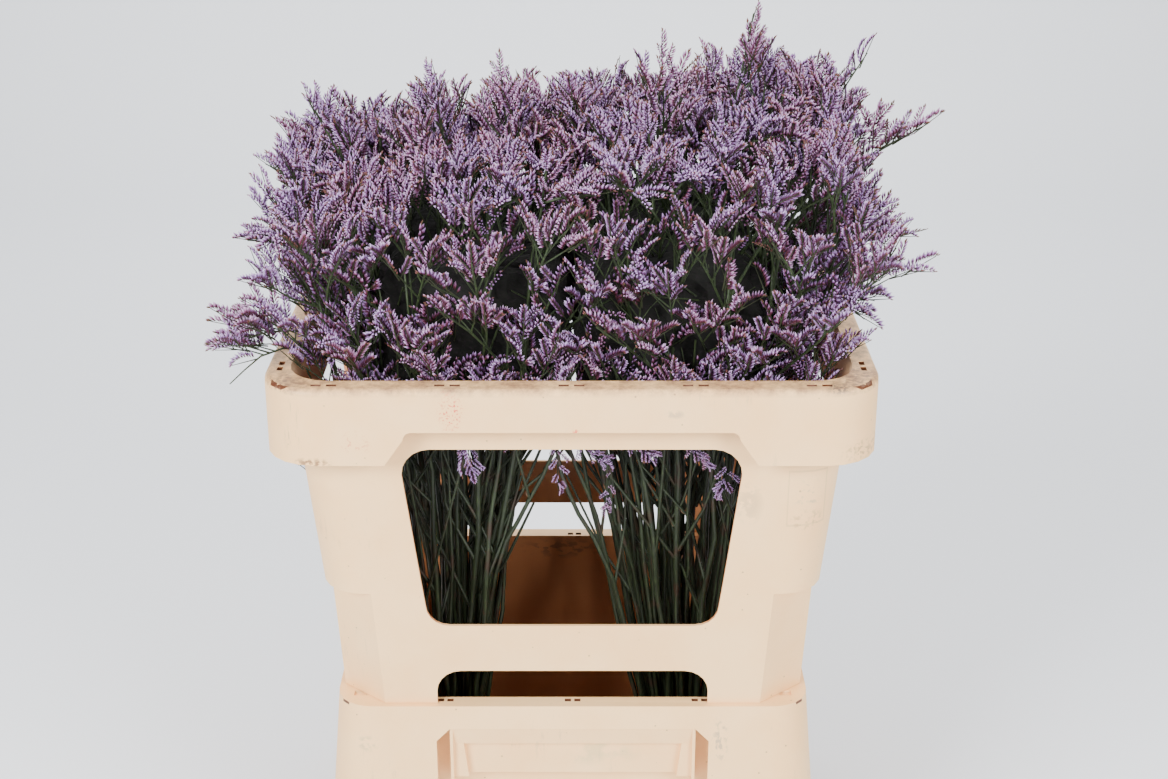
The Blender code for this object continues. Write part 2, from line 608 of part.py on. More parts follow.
class Spray:
    """The flowering top of one bunch while it is put together."""

    def __init__(self, side, row):
        self.side, self.row = side, row
        self.core = core_hull(side, row)
        self.planes = [(face.verts[0].co.copy(), face.normal.copy()) for face in self.core.faces]
        self.centre = sum((vert.co for vert in self.core.verts), Vector()) / len(self.core.verts)
        self.pieces, self.tips, self.taken = [], [], []
        self.pick = random.Random(f"spray {side} {row}")

    def depth(self, point):
        """How deep a point lies in the dense middle. It is negative outside."""
        return min((corner - point).dot(normal) for corner, normal in self.planes)

    def samples(self, points, radii):
        """Shares of the length, points and radii at even steps along a piece."""
        for i in range(SAMPLES + 1):
            share = i / SAMPLES
            t = share * (len(points) - 1)
            k = min(int(t), len(points) - 2)
            yield share, points[k].lerp(points[k + 1], t - k), radii[k] + (radii[k + 1] - radii[k]) * (t - k)

    def is_free(self, point, radius):
        """Whether a piece may pass here, clear of the collar and of the neighbouring bunches."""
        if clearance(point) < radius + 0.0008 or point.z < RIM_Z + CORE_LEVELS[0][0] + radius + 0.001:
            return False
        return (kept_in_cell(point, self.side, self.row, radius + 0.0004) - point).length < 0.0001

    def add(self, points, radii, parent=None):
        """Adds a piece if nothing is in its way, and gives its number or None."""
        if any((points[-1] - tip).length < SPIKE_SPACING for tip in self.tips):
            return None
        shift = Vector([self.pick.uniform(-0.0004, 0.0004) for _ in range(3)])
        points = [point + shift for point in points]
        outside = []
        for share, point, radius in self.samples(points, radii):
            if not self.is_free(point, radius):
                return None
            if self.depth(point) < radius:
                outside.append((share, point, radius))
        for owner, taken_at, taken_radius in self.taken:
            for share, point, radius in outside:
                if owner == parent and share < 0.4:
                    continue
                if (taken_at - point).length < taken_radius + radius + 0.0006:
                    return None
        number = len(self.pieces)
        self.taken += [(number, point, radius) for _, point, radius in outside]
        self.tips.append(points[-1])
        name = f"spike_{self.side}_{self.row}_{number}"
        self.pieces.append(mesh_object(name, tube(points, radii, 3)))
        return number

    def settled(self, points):
        """The points moved in among their own bunch, the last one nearest to its edge."""
        margins = [SPIKE_RADIUS + 0.0010] * (len(points) - 1) + [0.0010]
        return [kept_in_cell(p, self.side, self.row, m) for p, m in zip(points, margins)]

    def add_branch(self, branch):
        """The outer part of a branch as a spike on a stalk, with a spike for each shoot."""
        path = self.settled(branch["path"])
        if self.depth(path[-1]) > -0.012:
            return
        while self.depth(path[0]) < 0.008:
            path[0] = path[0].lerp(self.centre, 0.15)
        steps, exit_at = 40, None
        for i in range(steps, -1, -1):
            t = i / steps * 2
            k = min(int(t), 1)
            point = path[k].lerp(path[k + 1], t - k)
            if self.depth(point) > 0.004:
                exit_at = point
                break
        if exit_at is None:
            return
        tip = path[-1]
        reach = tip - exit_at
        if reach.length < 0.020:
            return
        bend = Vector((0, 0, 0.06 * reach.length))
        radius = SPIKE_RADIUS
        if reach.length > SPIKE_LENGTH * 1.9:
            knee = path[1] if self.depth(path[1]) < -0.004 else exit_at.lerp(tip, 0.4)
            base = tip - (tip - knee) * min(0.9, SPIKE_LENGTH / (tip - knee).length)
            points = [exit_at, knee, base.lerp(tip, 0.45), tip]
            radii = [STALK_RADIUS, STALK_RADIUS, radius, 0]
            stem_radius = STALK_RADIUS
        else:
            points = [exit_at, exit_at.lerp(tip, 0.5) + bend, tip]
            radii = [radius * 0.4, radius, 0]
            stem_radius = radius * 0.4
        parent = self.add(points, radii)
        if parent is None:
            return
        for start, end in branch["shoots"]:
            start, end = self.settled([start, end])
            share = max(0.0, (start - points[-3]).dot(reach) / reach.length_squared)
            root = points[-3].lerp(points[-2], min(0.7, share))
            end = root + (end - start)
            end = kept_in_cell(end, self.side, self.row, 0.0010)
            if self.depth(end) > -0.010:
                continue
            self.add([root, root.lerp(end, 0.5), end], [stem_radius * 0.38, radius * 0.9, 0], parent)

    def fill(self):
        """Stands short sprigs on the bare parts of the dense middle, leaning the way its stems fan out."""
        waist = Vector((SIDES[self.side] * TIE_X * 0.6, ROWS[self.row] * TIE_Y * 0.6, RIM_Z - 0.16))
        faces = []
        for face in self.core.faces:
            inner = abs(face.normal.x) > 0.99 and abs(face.calc_center_median().x) < 0.01
            inner = inner or (abs(face.normal.z) < 0.1 and abs(face.normal.x) < 0.01 and abs(face.calc_center_median().y) < 0.07)
            if face.normal.z > -0.5 and not inner:
                faces.append(face)
        areas = [face.calc_area() for face in faces]
        for _ in range(FILL_TRIES):
            face = self.pick.choices(faces, areas)[0]
            middle = face.calc_center_median()
            corners = [vert.co for vert in face.verts]
            k = self.pick.randrange(len(corners))
            u, v = sorted((self.pick.random(), self.pick.random()))
            spot = middle * (1 - v) + corners[k] * (v - u) + corners[(k + 1) % len(corners)] * u
            heading = (spot - waist).normalized() + face.normal * 0.35
            heading += Vector([self.pick.uniform(-0.32, 0.32) for _ in range(3)])
            heading.normalize()
            reach = self.pick.uniform(0.030, 0.062)
            tip = kept_in_cell(spot + heading * reach, self.side, self.row, 0.0010)
            if spot.z < RIM_Z - 0.012 or self.depth(tip) > -0.020 or any((tip - other).length < FILL_SPACING for other in self.tips):
                continue
            root = spot - heading * 0.006
            bend = Vector((0, 0, 0.003))
            widest = kept_in_cell(root.lerp(tip, 0.55) + bend, self.side, self.row, FILL_RADIUS + 0.001)
            self.add([root, widest, tip], [0.0022, FILL_RADIUS, 0])

    def finish(self, finish):
        core = mesh_object(f"sprays_{self.side}_{self.row}", self.core, finish)
        return fuse(core, self.pieces)


def make_sprays(side, row, stems, finish):
    """The flowering top of a bunch: a dense middle with spikes standing out of it."""
    spray = Spray(side, row)
    for branch_side, branch_row, points in OUTLIERS:
        if (branch_side, branch_row) == (side, row):
            path = [Vector((x, y, RIM_Z + h)) for x, y, h in points]
            spray.add_branch(plan_branch(spray.pick, path))
    if (side, row) == ("right", "front"):
        # A low sprig that leans out to the inside of the collar.
        state = spray.pick.getstate()
        path = [Vector((x, y, RIM_Z + h)) for x, y, h in LOW_SPRIG]
        spray.add_branch({"path": path, "shoots": []})
        spray.pick.setstate(state)
    for stem in stems:
        spray.add_branch(stem["leader"])
    for stem in stems:
        for branch in stem["branches"]:
            spray.add_branch(branch)
    spray.fill()
    return spray.finish(finish)


def main():
    for obj in list(bpy.data.objects):
        bpy.data.objects.remove(obj)
    cream = material("cream_polypropylene", (0.80, 0.66, 0.50), 0.45)
    green = material("stem_green", (0.05, 0.09, 0.03), 0.60)
    lilac = material("statice_lilac", (0.32, 0.20, 0.42), 0.70)
    make_bucket(cream)
    make_collar(cream)
    for side in SIDES:
        for row in ROWS:
            stems = [plan_stem(side, row, place) for place in range(10)]
            make_stems(side, row, stems, green)
            make_sprays(side, row, stems, lilac)


main()
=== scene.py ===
"""Cut statice in the two-part plastic container of the flower trade, dressed for close views."""

import math
import random
from functools import partial

import bpy
import numpy as np
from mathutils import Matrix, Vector


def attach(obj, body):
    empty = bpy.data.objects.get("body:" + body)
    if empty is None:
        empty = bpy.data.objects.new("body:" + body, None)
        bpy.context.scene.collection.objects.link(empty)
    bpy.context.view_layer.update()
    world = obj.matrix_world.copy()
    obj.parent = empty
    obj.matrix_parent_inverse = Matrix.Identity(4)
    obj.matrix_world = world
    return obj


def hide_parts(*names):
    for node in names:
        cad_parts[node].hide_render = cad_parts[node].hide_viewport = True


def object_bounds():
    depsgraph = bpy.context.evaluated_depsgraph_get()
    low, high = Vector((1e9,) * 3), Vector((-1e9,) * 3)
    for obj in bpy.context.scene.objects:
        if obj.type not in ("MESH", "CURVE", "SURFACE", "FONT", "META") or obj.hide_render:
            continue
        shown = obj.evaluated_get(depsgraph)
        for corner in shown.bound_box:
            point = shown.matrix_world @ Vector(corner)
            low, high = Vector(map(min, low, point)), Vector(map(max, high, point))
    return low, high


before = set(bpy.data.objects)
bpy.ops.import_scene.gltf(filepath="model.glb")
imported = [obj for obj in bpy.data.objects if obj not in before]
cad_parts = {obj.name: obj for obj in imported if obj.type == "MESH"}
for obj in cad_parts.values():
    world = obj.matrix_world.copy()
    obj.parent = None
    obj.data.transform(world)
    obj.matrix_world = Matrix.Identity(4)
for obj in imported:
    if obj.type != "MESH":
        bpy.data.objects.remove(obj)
cad_low, cad_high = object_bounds()

# Container levels and walls, in metres.
BUCKET_HEIGHT = 0.250
SEAT_GAP = 0.0003
COLLAR_HEIGHT = 0.292
PLASTIC = 0.003
RIM_SIZE = (0.4705, 0.3885)
RIM_RADIUS = 0.042
RIM_Z = BUCKET_HEIGHT + SEAT_GAP + COLLAR_HEIGHT

# The collar's walls: width at the step and the top, depth at the foot, the front's draft, inner corners.
STEP_LEVEL = 0.105
STEP_WIDTH = 0.4035
TOP_WIDTH = 0.4390
FOOT_DEPTH = 0.3165
FRONT_DRAFT = 0.1277
WALL_RADIUS = 0.033

# Edges eased by the mould and the collar's rounder rim, and the grips' recesses: their top and how far back.
EDGE_ROUND, RIM_ROUND = 0.0012, 0.0048
GRIP_TOP, GRIP_BACK = 0.240, 0.149

# How the bunches stand. Heights called h are above the collar's rim.
FLOOR_Z = PLASTIC + SEAT_GAP
TIE_Z = 0.110
SIDES = {"left": -1, "right": 1}
ROWS = {"front": -1, "middle": 0, "rear": 1}
TIE_X, TIE_Y = 0.104, 0.082
HOLD_X, HOLD_Y = 0.0050, 0.0026
TIP_X = (0.024, 0.070, 0.116, 0.162, 0.204)
TIP_Y_ROW = 0.112
TIP_Y_SPREAD = 0.026
PANICLE_LENGTH = 0.27
BRANCHES = 10
BRANCH_MARGINS = (0.040, 0.034, 0.026)
HEAD_FOOT = -0.055
# Forks leave a stem between these heights, and their ends stay so near the middle plane.
FORK_LOW, FORK_HIGH, FORK_Y = 0.300, 0.465, 0.152

# Stems: radius low down and how much it loses above TAPER_Z, and the heights where a stem bends a little.
STEM_RADIUS = 0.0027
STEM_LOSS = 0.0019
TAPER_Z = 0.35
BEND_LEVELS = (0.20, 0.26, 0.32, 0.38, 0.44, 0.50, 0.56, 0.62)

# Thinner stems between them: bends, height of the fan's top, and x of the innermost and width, low and high.
FILL_STEMS = 16
FILL_LEVELS = (0.18, 0.24, 0.30, 0.35, 0.40, 0.45, 0.50, 0.56)
FAN_TOP = 0.50
FAN = {"left": (0.090, 0.028, 0.024, 0.140), "right": (0.076, 0.040, -0.004, 0.170)}
FAN_Y_ROW = 0.100

# The outline of the flowering mass: height above the rim, half width and half depth.
CROWN = (
    (-0.10, 0.185, 0.158), (-0.02, 0.190, 0.163), (0.0, 0.200, 0.168), (0.03, 0.224, 0.180),
    (0.06, 0.238, 0.187), (0.10, 0.250, 0.188), (0.14, 0.242, 0.178), (0.18, 0.212, 0.158),
    (0.21, 0.172, 0.120), (0.24, 0.110, 0.070), (0.27, 0.030, 0.030),
)

# How far the tips stand above the rim: in the middle, more of it to the right, less of it to front and rear.
TIPS_H, TIPS_RISE, TIPS_DROP, TIPS_HALF_DEPTH = 0.165, 0.110, 0.020, 0.14

# Depth in the mass from which spikes thin out or are plain, and how far tips may pass the CAD along x and y.
THIN_FROM, PLAIN_FROM = 0.034, 0.028
PAST_CAD = (0.018, 0.015)

# Thin places in the mass get branches until a bunch has its faces: where they are looked for and how often.
# A place is thin with at most so many spike marks in the cells around it.
FACES_A_BUNCH = 148000
TRIES = 26000
CELL = 0.014
MARKS_AROUND = 6
GAP_X = 0.245
GAP_Y_ROW, GAP_Y_SPREAD = 0.116, 0.060
GAP_LOW, GAP_HIGH = -0.010, 0.200

# The dark inside of a bunch: reach along Y by row, reach along X on the right side, and h of its ends.
INNER_Y = {"front": (-0.122, -0.056), "middle": (-0.055, 0.055), "rear": (0.056, 0.122)}
INNER_X = (0.004, 0.150)
INNER_LOW, INNER_HIGH = -0.040, 0.078

# How florets stand on a spike: lean at its foot and tip, splay to each side, floret length, share of buds.
SPIKE_LENGTH = 0.030
COMB = (58, 38, 24, 0.0074, 0.14)
EAR = (40, 24, 60, 0.0070, 0.18)
BUDDING = (22, 13, 60, 0.0046, 1.10)

# Sprigs that stand clear of the rest, by bunch: points outwards as (x, y, h).
OUTLIERS = {
    ("right", "middle"): (
        ((0.118, -0.018, 0.12), (0.132, -0.02, 0.19), (0.142, -0.02, 0.248)),
        ((0.165, 0.004, 0.09), (0.205, 0.002, 0.16), (0.236, 0.0, 0.213)),
        ((0.175, -0.012, 0.07), (0.238, -0.012, 0.128), (0.287, -0.01, 0.158)),
        ((0.07, -0.04, 0.1), (0.072, -0.046, 0.17), (0.069, -0.05, 0.229)),
    ),
    ("right", "front"): (
        ((0.17, -0.085, 0.05), (0.222, -0.092, 0.082), (0.262, -0.092, 0.09)),
        ((0.165, -0.11, 0.03), (0.2, -0.122, 0.048), (0.226, -0.126, 0.032)),
    ),
    ("right", "rear"): (((0.16, 0.08, 0.07), (0.21, 0.09, 0.125), (0.246, 0.098, 0.15)),),
    ("left", "middle"): (
        ((-0.05, -0.03, 0.1), (-0.052, -0.038, 0.16), (-0.056, -0.042, 0.212)),
        ((-0.095, -0.03, 0.1), (-0.102, -0.038, 0.155), (-0.106, -0.044, 0.206)),
        ((-0.155, -0.03, 0.08), (-0.185, -0.038, 0.14), (-0.206, -0.044, 0.184)),
        ((-0.175, -0.004, 0.06), (-0.22, -0.006, 0.105), (-0.25, -0.008, 0.124)),
    ),
    ("left", "front"): (
        ((-0.175, -0.07, 0.05), (-0.222, -0.074, 0.076), (-0.256, -0.076, 0.08)),
        ((-0.185, -0.105, 0.01), (-0.228, -0.13, 0.024), (-0.266, -0.138, 0.014)),
        ((-0.185, -0.11, 0.004), (-0.232, -0.138, 0.01), (-0.264, -0.146, -0.014)),
    ),
    ("left", "rear"): (((-0.155, 0.08, 0.06), (-0.205, 0.092, 0.105), (-0.236, 0.1, 0.12)),),
}

# Stems that lean across the gap between the two columns of bunches, by bunch: points in the world.
LEANING = {
    ("left", "front"): (
        ((-0.1, -0.085, 0.11), (-0.066, -0.11, 0.335), (-0.043, -0.118, 0.4), (-0.018, -0.122, 0.452),
         (0.002, -0.12, 0.515)),
        ((-0.098, -0.08, 0.11), (-0.074, -0.1, 0.33), (-0.052, -0.105, 0.42), (-0.036, -0.105, 0.48),
         (-0.022, -0.1, 0.54)),
    ),
    ("left", "middle"): (
        ((-0.095, -0.01, 0.11), (-0.07, -0.03, 0.33), (-0.042, -0.04, 0.43), (-0.008, -0.04, 0.52)),
    ),
    ("right", "front"): (
        ((0.078, -0.085, 0.11), (0.036, -0.11, 0.33), (0.003, -0.118, 0.408), (-0.011, -0.12, 0.452),
         (-0.016, -0.12, 0.52)),
        ((0.08, -0.08, 0.11), (0.032, -0.1, 0.335), (0.018, -0.104, 0.4), (-0.002, -0.108, 0.455),
         (-0.022, -0.1, 0.52)),
        ((0.084, -0.07, 0.11), (0.052, -0.09, 0.33), (0.034, -0.095, 0.39), (0.028, -0.098, 0.44),
         (0.008, -0.095, 0.52)),
    ),
    ("right", "middle"): (
        ((0.085, -0.01, 0.11), (0.05, -0.04, 0.33), (0.03, -0.045, 0.42), (0.002, -0.045, 0.51)),
        ((0.085, 0.005, 0.11), (0.058, -0.01, 0.33), (0.038, -0.015, 0.42), (0.022, -0.012, 0.51)),
    ),
}

# Sprigs behind the windows, or looking out of a side window, by bunch: points as (x, y, h), and spike size.
HANGING = {
    ("left", "front"): (
        (((-0.084, -0.128, -0.02), (-0.082, -0.148, -0.06), (-0.078, -0.15, -0.088)), 0.5),
        (((-0.06, -0.128, -0.02), (-0.056, -0.148, -0.052), (-0.052, -0.15, -0.062)), 0.45),
        (((-0.018, -0.125, -0.02), (-0.012, -0.148, -0.064), (-0.011, -0.15, -0.1)), 0.42),
    ),
    ("right", "front"): (
        (((-0.004, -0.125, -0.03), (0.006, -0.148, -0.062), (0.026, -0.15, -0.082)), 0.5),
        (((0.02, -0.125, -0.03), (0.03, -0.148, -0.052), (0.046, -0.15, -0.066)), 0.5),
        (((0.044, -0.125, -0.03), (0.052, -0.148, -0.058), (0.062, -0.15, -0.076)), 0.48),
        (((0.084, -0.125, -0.035), (0.092, -0.148, -0.062), (0.104, -0.15, -0.082)), 0.5),
        (((0.12, -0.12, -0.06), (0.122, -0.146, -0.086), (0.117, -0.149, -0.104)), 0.42),
    ),
    ("right", "middle"): (
        (((0.04, -0.05, -0.04), (0.03, -0.11, -0.11), (0.026, -0.128, -0.132)), 0.3),
    ),
    ("left", "middle"): (
        (((-0.196, -0.06, -0.16), (-0.212, -0.082, -0.124), (-0.228, -0.09, -0.104)), 0.36),
    ),
}

# How far from the middle the drain slots lie: bucket's rim along Y, collar's lip along Y and along X.
SLOT_LANES = (0.1528, 0.1832, 0.2240)
# Their sizes, half the distance within a pair, and where the pairs lie along a rim.
BUCKET_SLOT, BUCKET_SLOT_APART = (0.0052, 0.0046, 0.0046), 0.0039
LIP_SLOT, LIP_SLOT_APART = (0.0078, 0.0044, 0.0046), 0.0058
BUCKET_PAIRS = (-0.1048, 0.0, 0.1048)
LIP_PAIRS_X = (-0.1860, -0.0933, 0.0, 0.0933, 0.1860)
LIP_PAIRS_Y = (-0.143, 0.0, 0.143)
# The larger single slot in each corner of the bucket's rim.
CORNER_SLOT, CORNER_SLOT_X, CORNER_SLOT_Y = (0.0100, 0.0075, 0.0044), 0.1765, 0.1420

# The square label that left its glue, 30 by 48 mm: its centre on the corner and its half sizes.
LABEL_AT = (0.1830, -0.1640, 0.4420)
LABEL_HALF = (0.0150, 0.0200, 0.0240)

# Marks of use on the plastic: colour, centre, half sizes, grain across and upwards, where the grain starts
# to show and is full, and strength.
MARKS = (
    ("e0583f", (-0.0905, -0.1943, 0.524), (0.01, 0.004, 0.017), (520, 520), (0.54, 0.6), 0.95),
    ("e0774a", (-0.0945, -0.1943, 0.537), (0.0045, 0.004, 0.006), (240, 240), (0.5, 0.6), 0.6),
    ("e0583f", (0.003, -0.1943, 0.5085), (0.0024, 0.004, 0.003), (400, 400), (0.42, 0.48), 0.85),
    ("e08a62", (-0.163, -0.1943, 0.499), (0.012, 0.004, 0.011), (420, 420), (0.58, 0.64), 0.7),
    ("8f877a", (0.0777, -0.1943, 0.523), (0.0078, 0.004, 0.0036), (190, 190), (0.42, 0.5), 0.45),
    ("b89b76", (0.138, -0.167, 0.438), (0.012, 0.012, 0.019), (150, 150), (0.42, 0.5), 0.5),
    ("a8825c", (0.183, -0.164, 0.422), (0.016, 0.016, 0.01), (260, 260), (0.5, 0.62), 0.6),
    ("8c8378", (0.183, -0.164, 0.444), (0.012, 0.014, 0.018), (190, 190), (0.56, 0.66), 0.45),
    ("6f4c34", (-0.196, -0.192, 0.483), (0.015, 0.012, 0.0045), (340, 340), (0.44, 0.58), 0.8),
    ("94714f", (0.22, -0.175, 0.49), (0.022, 0.03, 0.01), (320, 320), (0.48, 0.62), 0.6),
    ("75655a", (-0.211, -0.184, 0.511), (0.011, 0.016, 0.026), (620, 55), (0.56, 0.66), 0.55),
    ("57514a", (0.1995, -0.188, 0.542), (0.01, 0.01, 0.004), (420, 420), (0.46, 0.56), 0.75),
    ("7c5c48", (-0.215, -0.176, 0.5415), (0.024, 0.022, 0.006), (260, 260), (0.48, 0.6), 0.65),
    ("7c5c48", (0.215, -0.17, 0.5415), (0.024, 0.03, 0.006), (240, 240), (0.48, 0.6), 0.65),
    ("c9b482", (0.022, -0.155, 0.201), (0.036, 0.007, 0.014), (60, 60), (0.42, 0.6), 0.55),
    ("857d72", (0.122, -0.1665, 0.22), (0.007, 0.006, 0.024), (330, 160), (0.52, 0.62), 0.6),
    ("b7a077", (-0.17, -0.166, 0.216), (0.01, 0.01, 0.008), (200, 200), (0.48, 0.6), 0.6),
    ("8a5f48", (-0.045, -0.163, 0.256), (0.018, 0.004, 0.004), (320, 320), (0.54, 0.64), 0.45),
    ("2a170f", (-0.012, 0.15, 0.237), (0.042, 0.012, 0.011), (90, 200), (0.48, 0.56), 0.38),
)

# Camera and stage. The lamps: name, place, what it aims at, edge length and watts.
CAMERA_AT = (0.0094, -1.426, 1.041)
CAMERA_TILT = 68.0
LENS, SENSOR = 55.08, 36.0
AIR_LIGHT = 0.42
STAGE_DEPTH, STAGE_HALF_WIDTH, STAGE_HEIGHT, COVE = 3.0, 5.0, 4.0, 0.8
LAMPS = (
    ("soft_left", (-1.8, -2.3, 1.9), (0.0, 0.0, 0.42), 1.3, 190.0),
    ("soft_right", (1.8, -2.3, 1.6), (0.0, 0.0, 0.42), 1.3, 124.0),
    ("soft_top", (0.0, -0.3, 2.7), (0.0, 0.0, 0.5), 1.6, 24.0),
    ("floor_wash", (0.0, 1.7, 2.6), (0.0, 1.7, 0.0), 2.6, 96.0),
)


# Colour and nodes


def linear(hex_value):
    """A sRGB hex value as the linear colour that Blender's sockets take."""
    channels = [int(hex_value[i : i + 2], 16) / 255 for i in (0, 2, 4)]
    return (*(c / 12.92 if c <= 0.04045 else ((c + 0.055) / 1.055) ** 2.4 for c in channels), 1.0)


def feed(node, inputs):
    """Sets a node's inputs: values and hex colours are set, sockets and nodes (their first output) linked."""
    for socket, source in inputs.items():
        if isinstance(source, bpy.types.Node):
            source = source.outputs[0]
        if isinstance(source, bpy.types.NodeSocket):
            node.id_data.links.new(source, node.inputs[socket])
        else:
            node.inputs[socket].default_value = linear(source) if isinstance(source, str) else source


def add_node(tree, kind, inputs=None, stops=(), **settings):
    """Adds a shader node with its settings, its inputs and, on a ramp, its colour stops."""
    made = tree.nodes.new("ShaderNode" + kind)
    for name, value in settings.items():
        setattr(made, name, value)
    feed(made, inputs or {})
    if stops:
        ramp = made.color_ramp.elements
        while len(ramp) < len(stops):
            ramp.new(0.5)
        for element, (place, colour) in zip(ramp, stops):
            element.position = place
            element.color = linear(colour)
    return made


def new_material(name):
    """An empty Principled material, the function that adds nodes to it, and its shader."""
    made = bpy.data.materials.new(name)
    made.use_nodes = True
    return made, partial(add_node, made.node_tree), made.node_tree.nodes["Principled BSDF"]


def box_space(centre, half):
    """Mapping inputs under which a box reaches from -1 to 1 along each axis."""
    return {"Location": [-c / s for c, s in zip(centre, half)], "Scale": [1 / s for s in half]}


def label_glue(add, place):
    """Where the glue of the label's edges stayed, on the right corner of the front wall."""
    label = add("Mapping", {"Vector": place, **box_space(LABEL_AT, LABEL_HALF)})
    size = add("VectorMath", {0: label}, operation="ABSOLUTE")
    sides = add("SeparateXYZ", {0: size}).outputs
    outer = add("Math", {0: sides["X"], 1: sides["Z"]}, operation="MAXIMUM")
    edge = add("Math", {0: outer, 1: 1.0, 2: 0.035}, operation="COMPARE")
    here = add("Math", {0: sides["Y"], 1: 1.0}, operation="LESS_THAN")
    return add("Math", {0: edge, 1: here}, operation="MULTIPLY")


def inner_walls(add, place, spread):
    """Where the walls get their painted shade: faces that look towards the middle, except for the recesses of
    the grips.
    """
    facing = add("NewGeometry").outputs["Normal"]
    flat_place = add("VectorMath", {0: place, 1: (1.0, 1.0, 0.0)}, operation="MULTIPLY")
    inward = add("VectorMath", {0: facing, 1: flat_place}, operation="DOT_PRODUCT").outputs["Value"]
    inside = add("MapRange", {"Value": inward, "From Min": -0.02, "From Max": -0.07})
    # The recesses look inwards too, but they are outside: low down and far forward or back.
    high_up = add("Math", {0: spread["Z"], 1: GRIP_TOP}, operation="GREATER_THAN")
    near_in = add("Math", {0: spread["Y"], 1: GRIP_BACK}, operation="LESS_THAN")
    return inside, add("Math", {0: high_up, 1: near_in}, operation="MAXIMUM")


def slot_dirt_and_shade(add, spread):
    """Brown dirt and painted shade in the drain slots: only their walls lie at these heights and distances
    from the middle.
    """
    layers = []
    for axis, middle, half, top in (
        ("Y", SLOT_LANES[0], 0.0030, BUCKET_HEIGHT),
        ("Y", SLOT_LANES[1], 0.0028, RIM_Z),
        ("X", SLOT_LANES[2], 0.0028, RIM_Z),
    ):
        lane = add("Math", {0: spread[axis], 1: middle, 2: half}, operation="COMPARE")
        sunk = add("Math", {0: spread["Z"], 1: top - 0.0015, 2: 0.0012}, operation="COMPARE")
        layers.append((lane, sunk, "5a3018"))
    return layers


def marks_of_use(add, place):
    """Stains, scuffs and specks in their places, each broken up by a grain of its own."""
    layers = []
    for tint, centre, half, (across, upwards), (first, full), strength in MARKS:
        near = add("Mapping", {"Vector": place, **box_space(centre, half)})
        reach = add("VectorMath", {0: near}, operation="LENGTH").outputs["Value"]
        spot = add("MapRange", {"Value": reach, "From Min": 1.1, "From Max": 0.5})
        grains = add("Mapping", {"Vector": place, "Scale": (across, across, upwards)})
        broken = add("TexNoise", {"Vector": grains, "Scale": 1.0, "Detail": 4.0})
        flecks = add("MapRange", {"Value": broken, "From Min": first, "From Max": full, "To Max": strength})
        layers.append((spot, flecks, tint))
    return layers


def cream_polypropylene():
    """Moulded polypropylene, worn by the trade: satin cream, faintly mottled, scuffed, with grubby edges.

    Inside, the walls are painted a warm brown for their shade and the light that comes through them.
    """
    made, add, shader = new_material("cream_polypropylene")
    place = add("TexCoord").outputs["Object"]
    height = add("SeparateXYZ", {0: place}).outputs["Z"]
    spread = add("SeparateXYZ", {0: add("VectorMath", {0: place}, operation="ABSOLUTE")}).outputs
    # Soft unevenness of the colour over about 60 mm.
    mottle = add("TexNoise", {"Vector": place, "Scale": 16.0, "Detail": 4.0, "Roughness": 0.6})
    colour = add("ValToRGB", {"Fac": mottle}, [(0.35, "f7c587"), (0.65, "facd92")])
    # Grey rubs a few millimetres across, drawn out upright where the containers slide into each other.
    drawn_out = add("Mapping", {"Vector": place, "Scale": (210.0, 210.0, 34.0)})
    rub = add("TexNoise", {"Vector": drawn_out, "Scale": 1.0, "Detail": 7.0, "Roughness": 0.72})
    rub_here = add("TexNoise", {"Vector": place, "Scale": 9.0, "Detail": 2.0})
    rub_mask = add("Math", {0: rub, 1: rub_here}, operation="MULTIPLY")
    rubbed = add("MapRange", {"Value": rub_mask, "From Min": 0.35, "From Max": 0.44, "To Max": 0.34})
    # Grit specks under a millimetre, one every 14 mm or so.
    grit = add("TexVoronoi", {"Vector": place, "Scale": 70.0})
    specks = add("MapRange", {"Value": grit, "From Min": 0.065, "From Max": 0.04, "To Max": 0.6})
    # Brown grime within 5 mm of the collar's top edge.
    upper = add("MapRange", {"Value": height, "From Min": RIM_Z - 0.006, "From Max": RIM_Z - 0.001})
    smear = add("TexNoise", {"Vector": place, "Scale": 75.0, "Detail": 7.0, "Roughness": 0.78})
    smeared = add("MapRange", {"Value": smear, "From Min": 0.36, "From Max": 0.66, "To Max": 0.90})
    # Painted shade: the inside of the walls is warm brown, painted lighter towards the rim where more light
    # falls in.
    lit = add("MapRange", {"Value": height, "From Min": RIM_Z - 0.030, "From Max": RIM_Z - 0.002})
    brown = add("Mix", {0: lit, 6: "d08a5c", 7: "ecc69c"}, data_type="RGBA").outputs[2]
    # What lies on the cream, from the lowest layer up: where it lies, how strongly, and its colour.
    for where, strongly, above in (
        (rubbed, 1.0, "a08a76"),
        (specks, 1.0, "7a5a44"),
        (upper, smeared, "84604a"),
        (label_glue(add, place), 0.30, "b08f68"),
        # Painted shade on the inside of the walls.
        (*inner_walls(add, place, spread), brown),
        # Dirt and painted shade in the drain slots.
        *slot_dirt_and_shade(add, spread),
        *marks_of_use(add, place),
    ):
        mask = add("Math", {0: where, 1: strongly}, operation="MULTIPLY")
        colour = add("Mix", {0: mask, 6: colour, 7: above}, data_type="RGBA").outputs[2]
    rough = add("MapRange", {"Value": rub, "To Min": 0.40, "To Max": 0.56})
    # Slight waviness of the moulding over 25 mm.
    wave = add("TexNoise", {"Vector": place, "Scale": 40.0, "Detail": 3.0})
    bump = add("Bump", {"Height": wave, "Strength": 0.3, "Distance": 0.0007})
    feed(shader, {"Base Color": colour, "Roughness": rough, "IOR": 1.49, "Normal": bump})
    return made


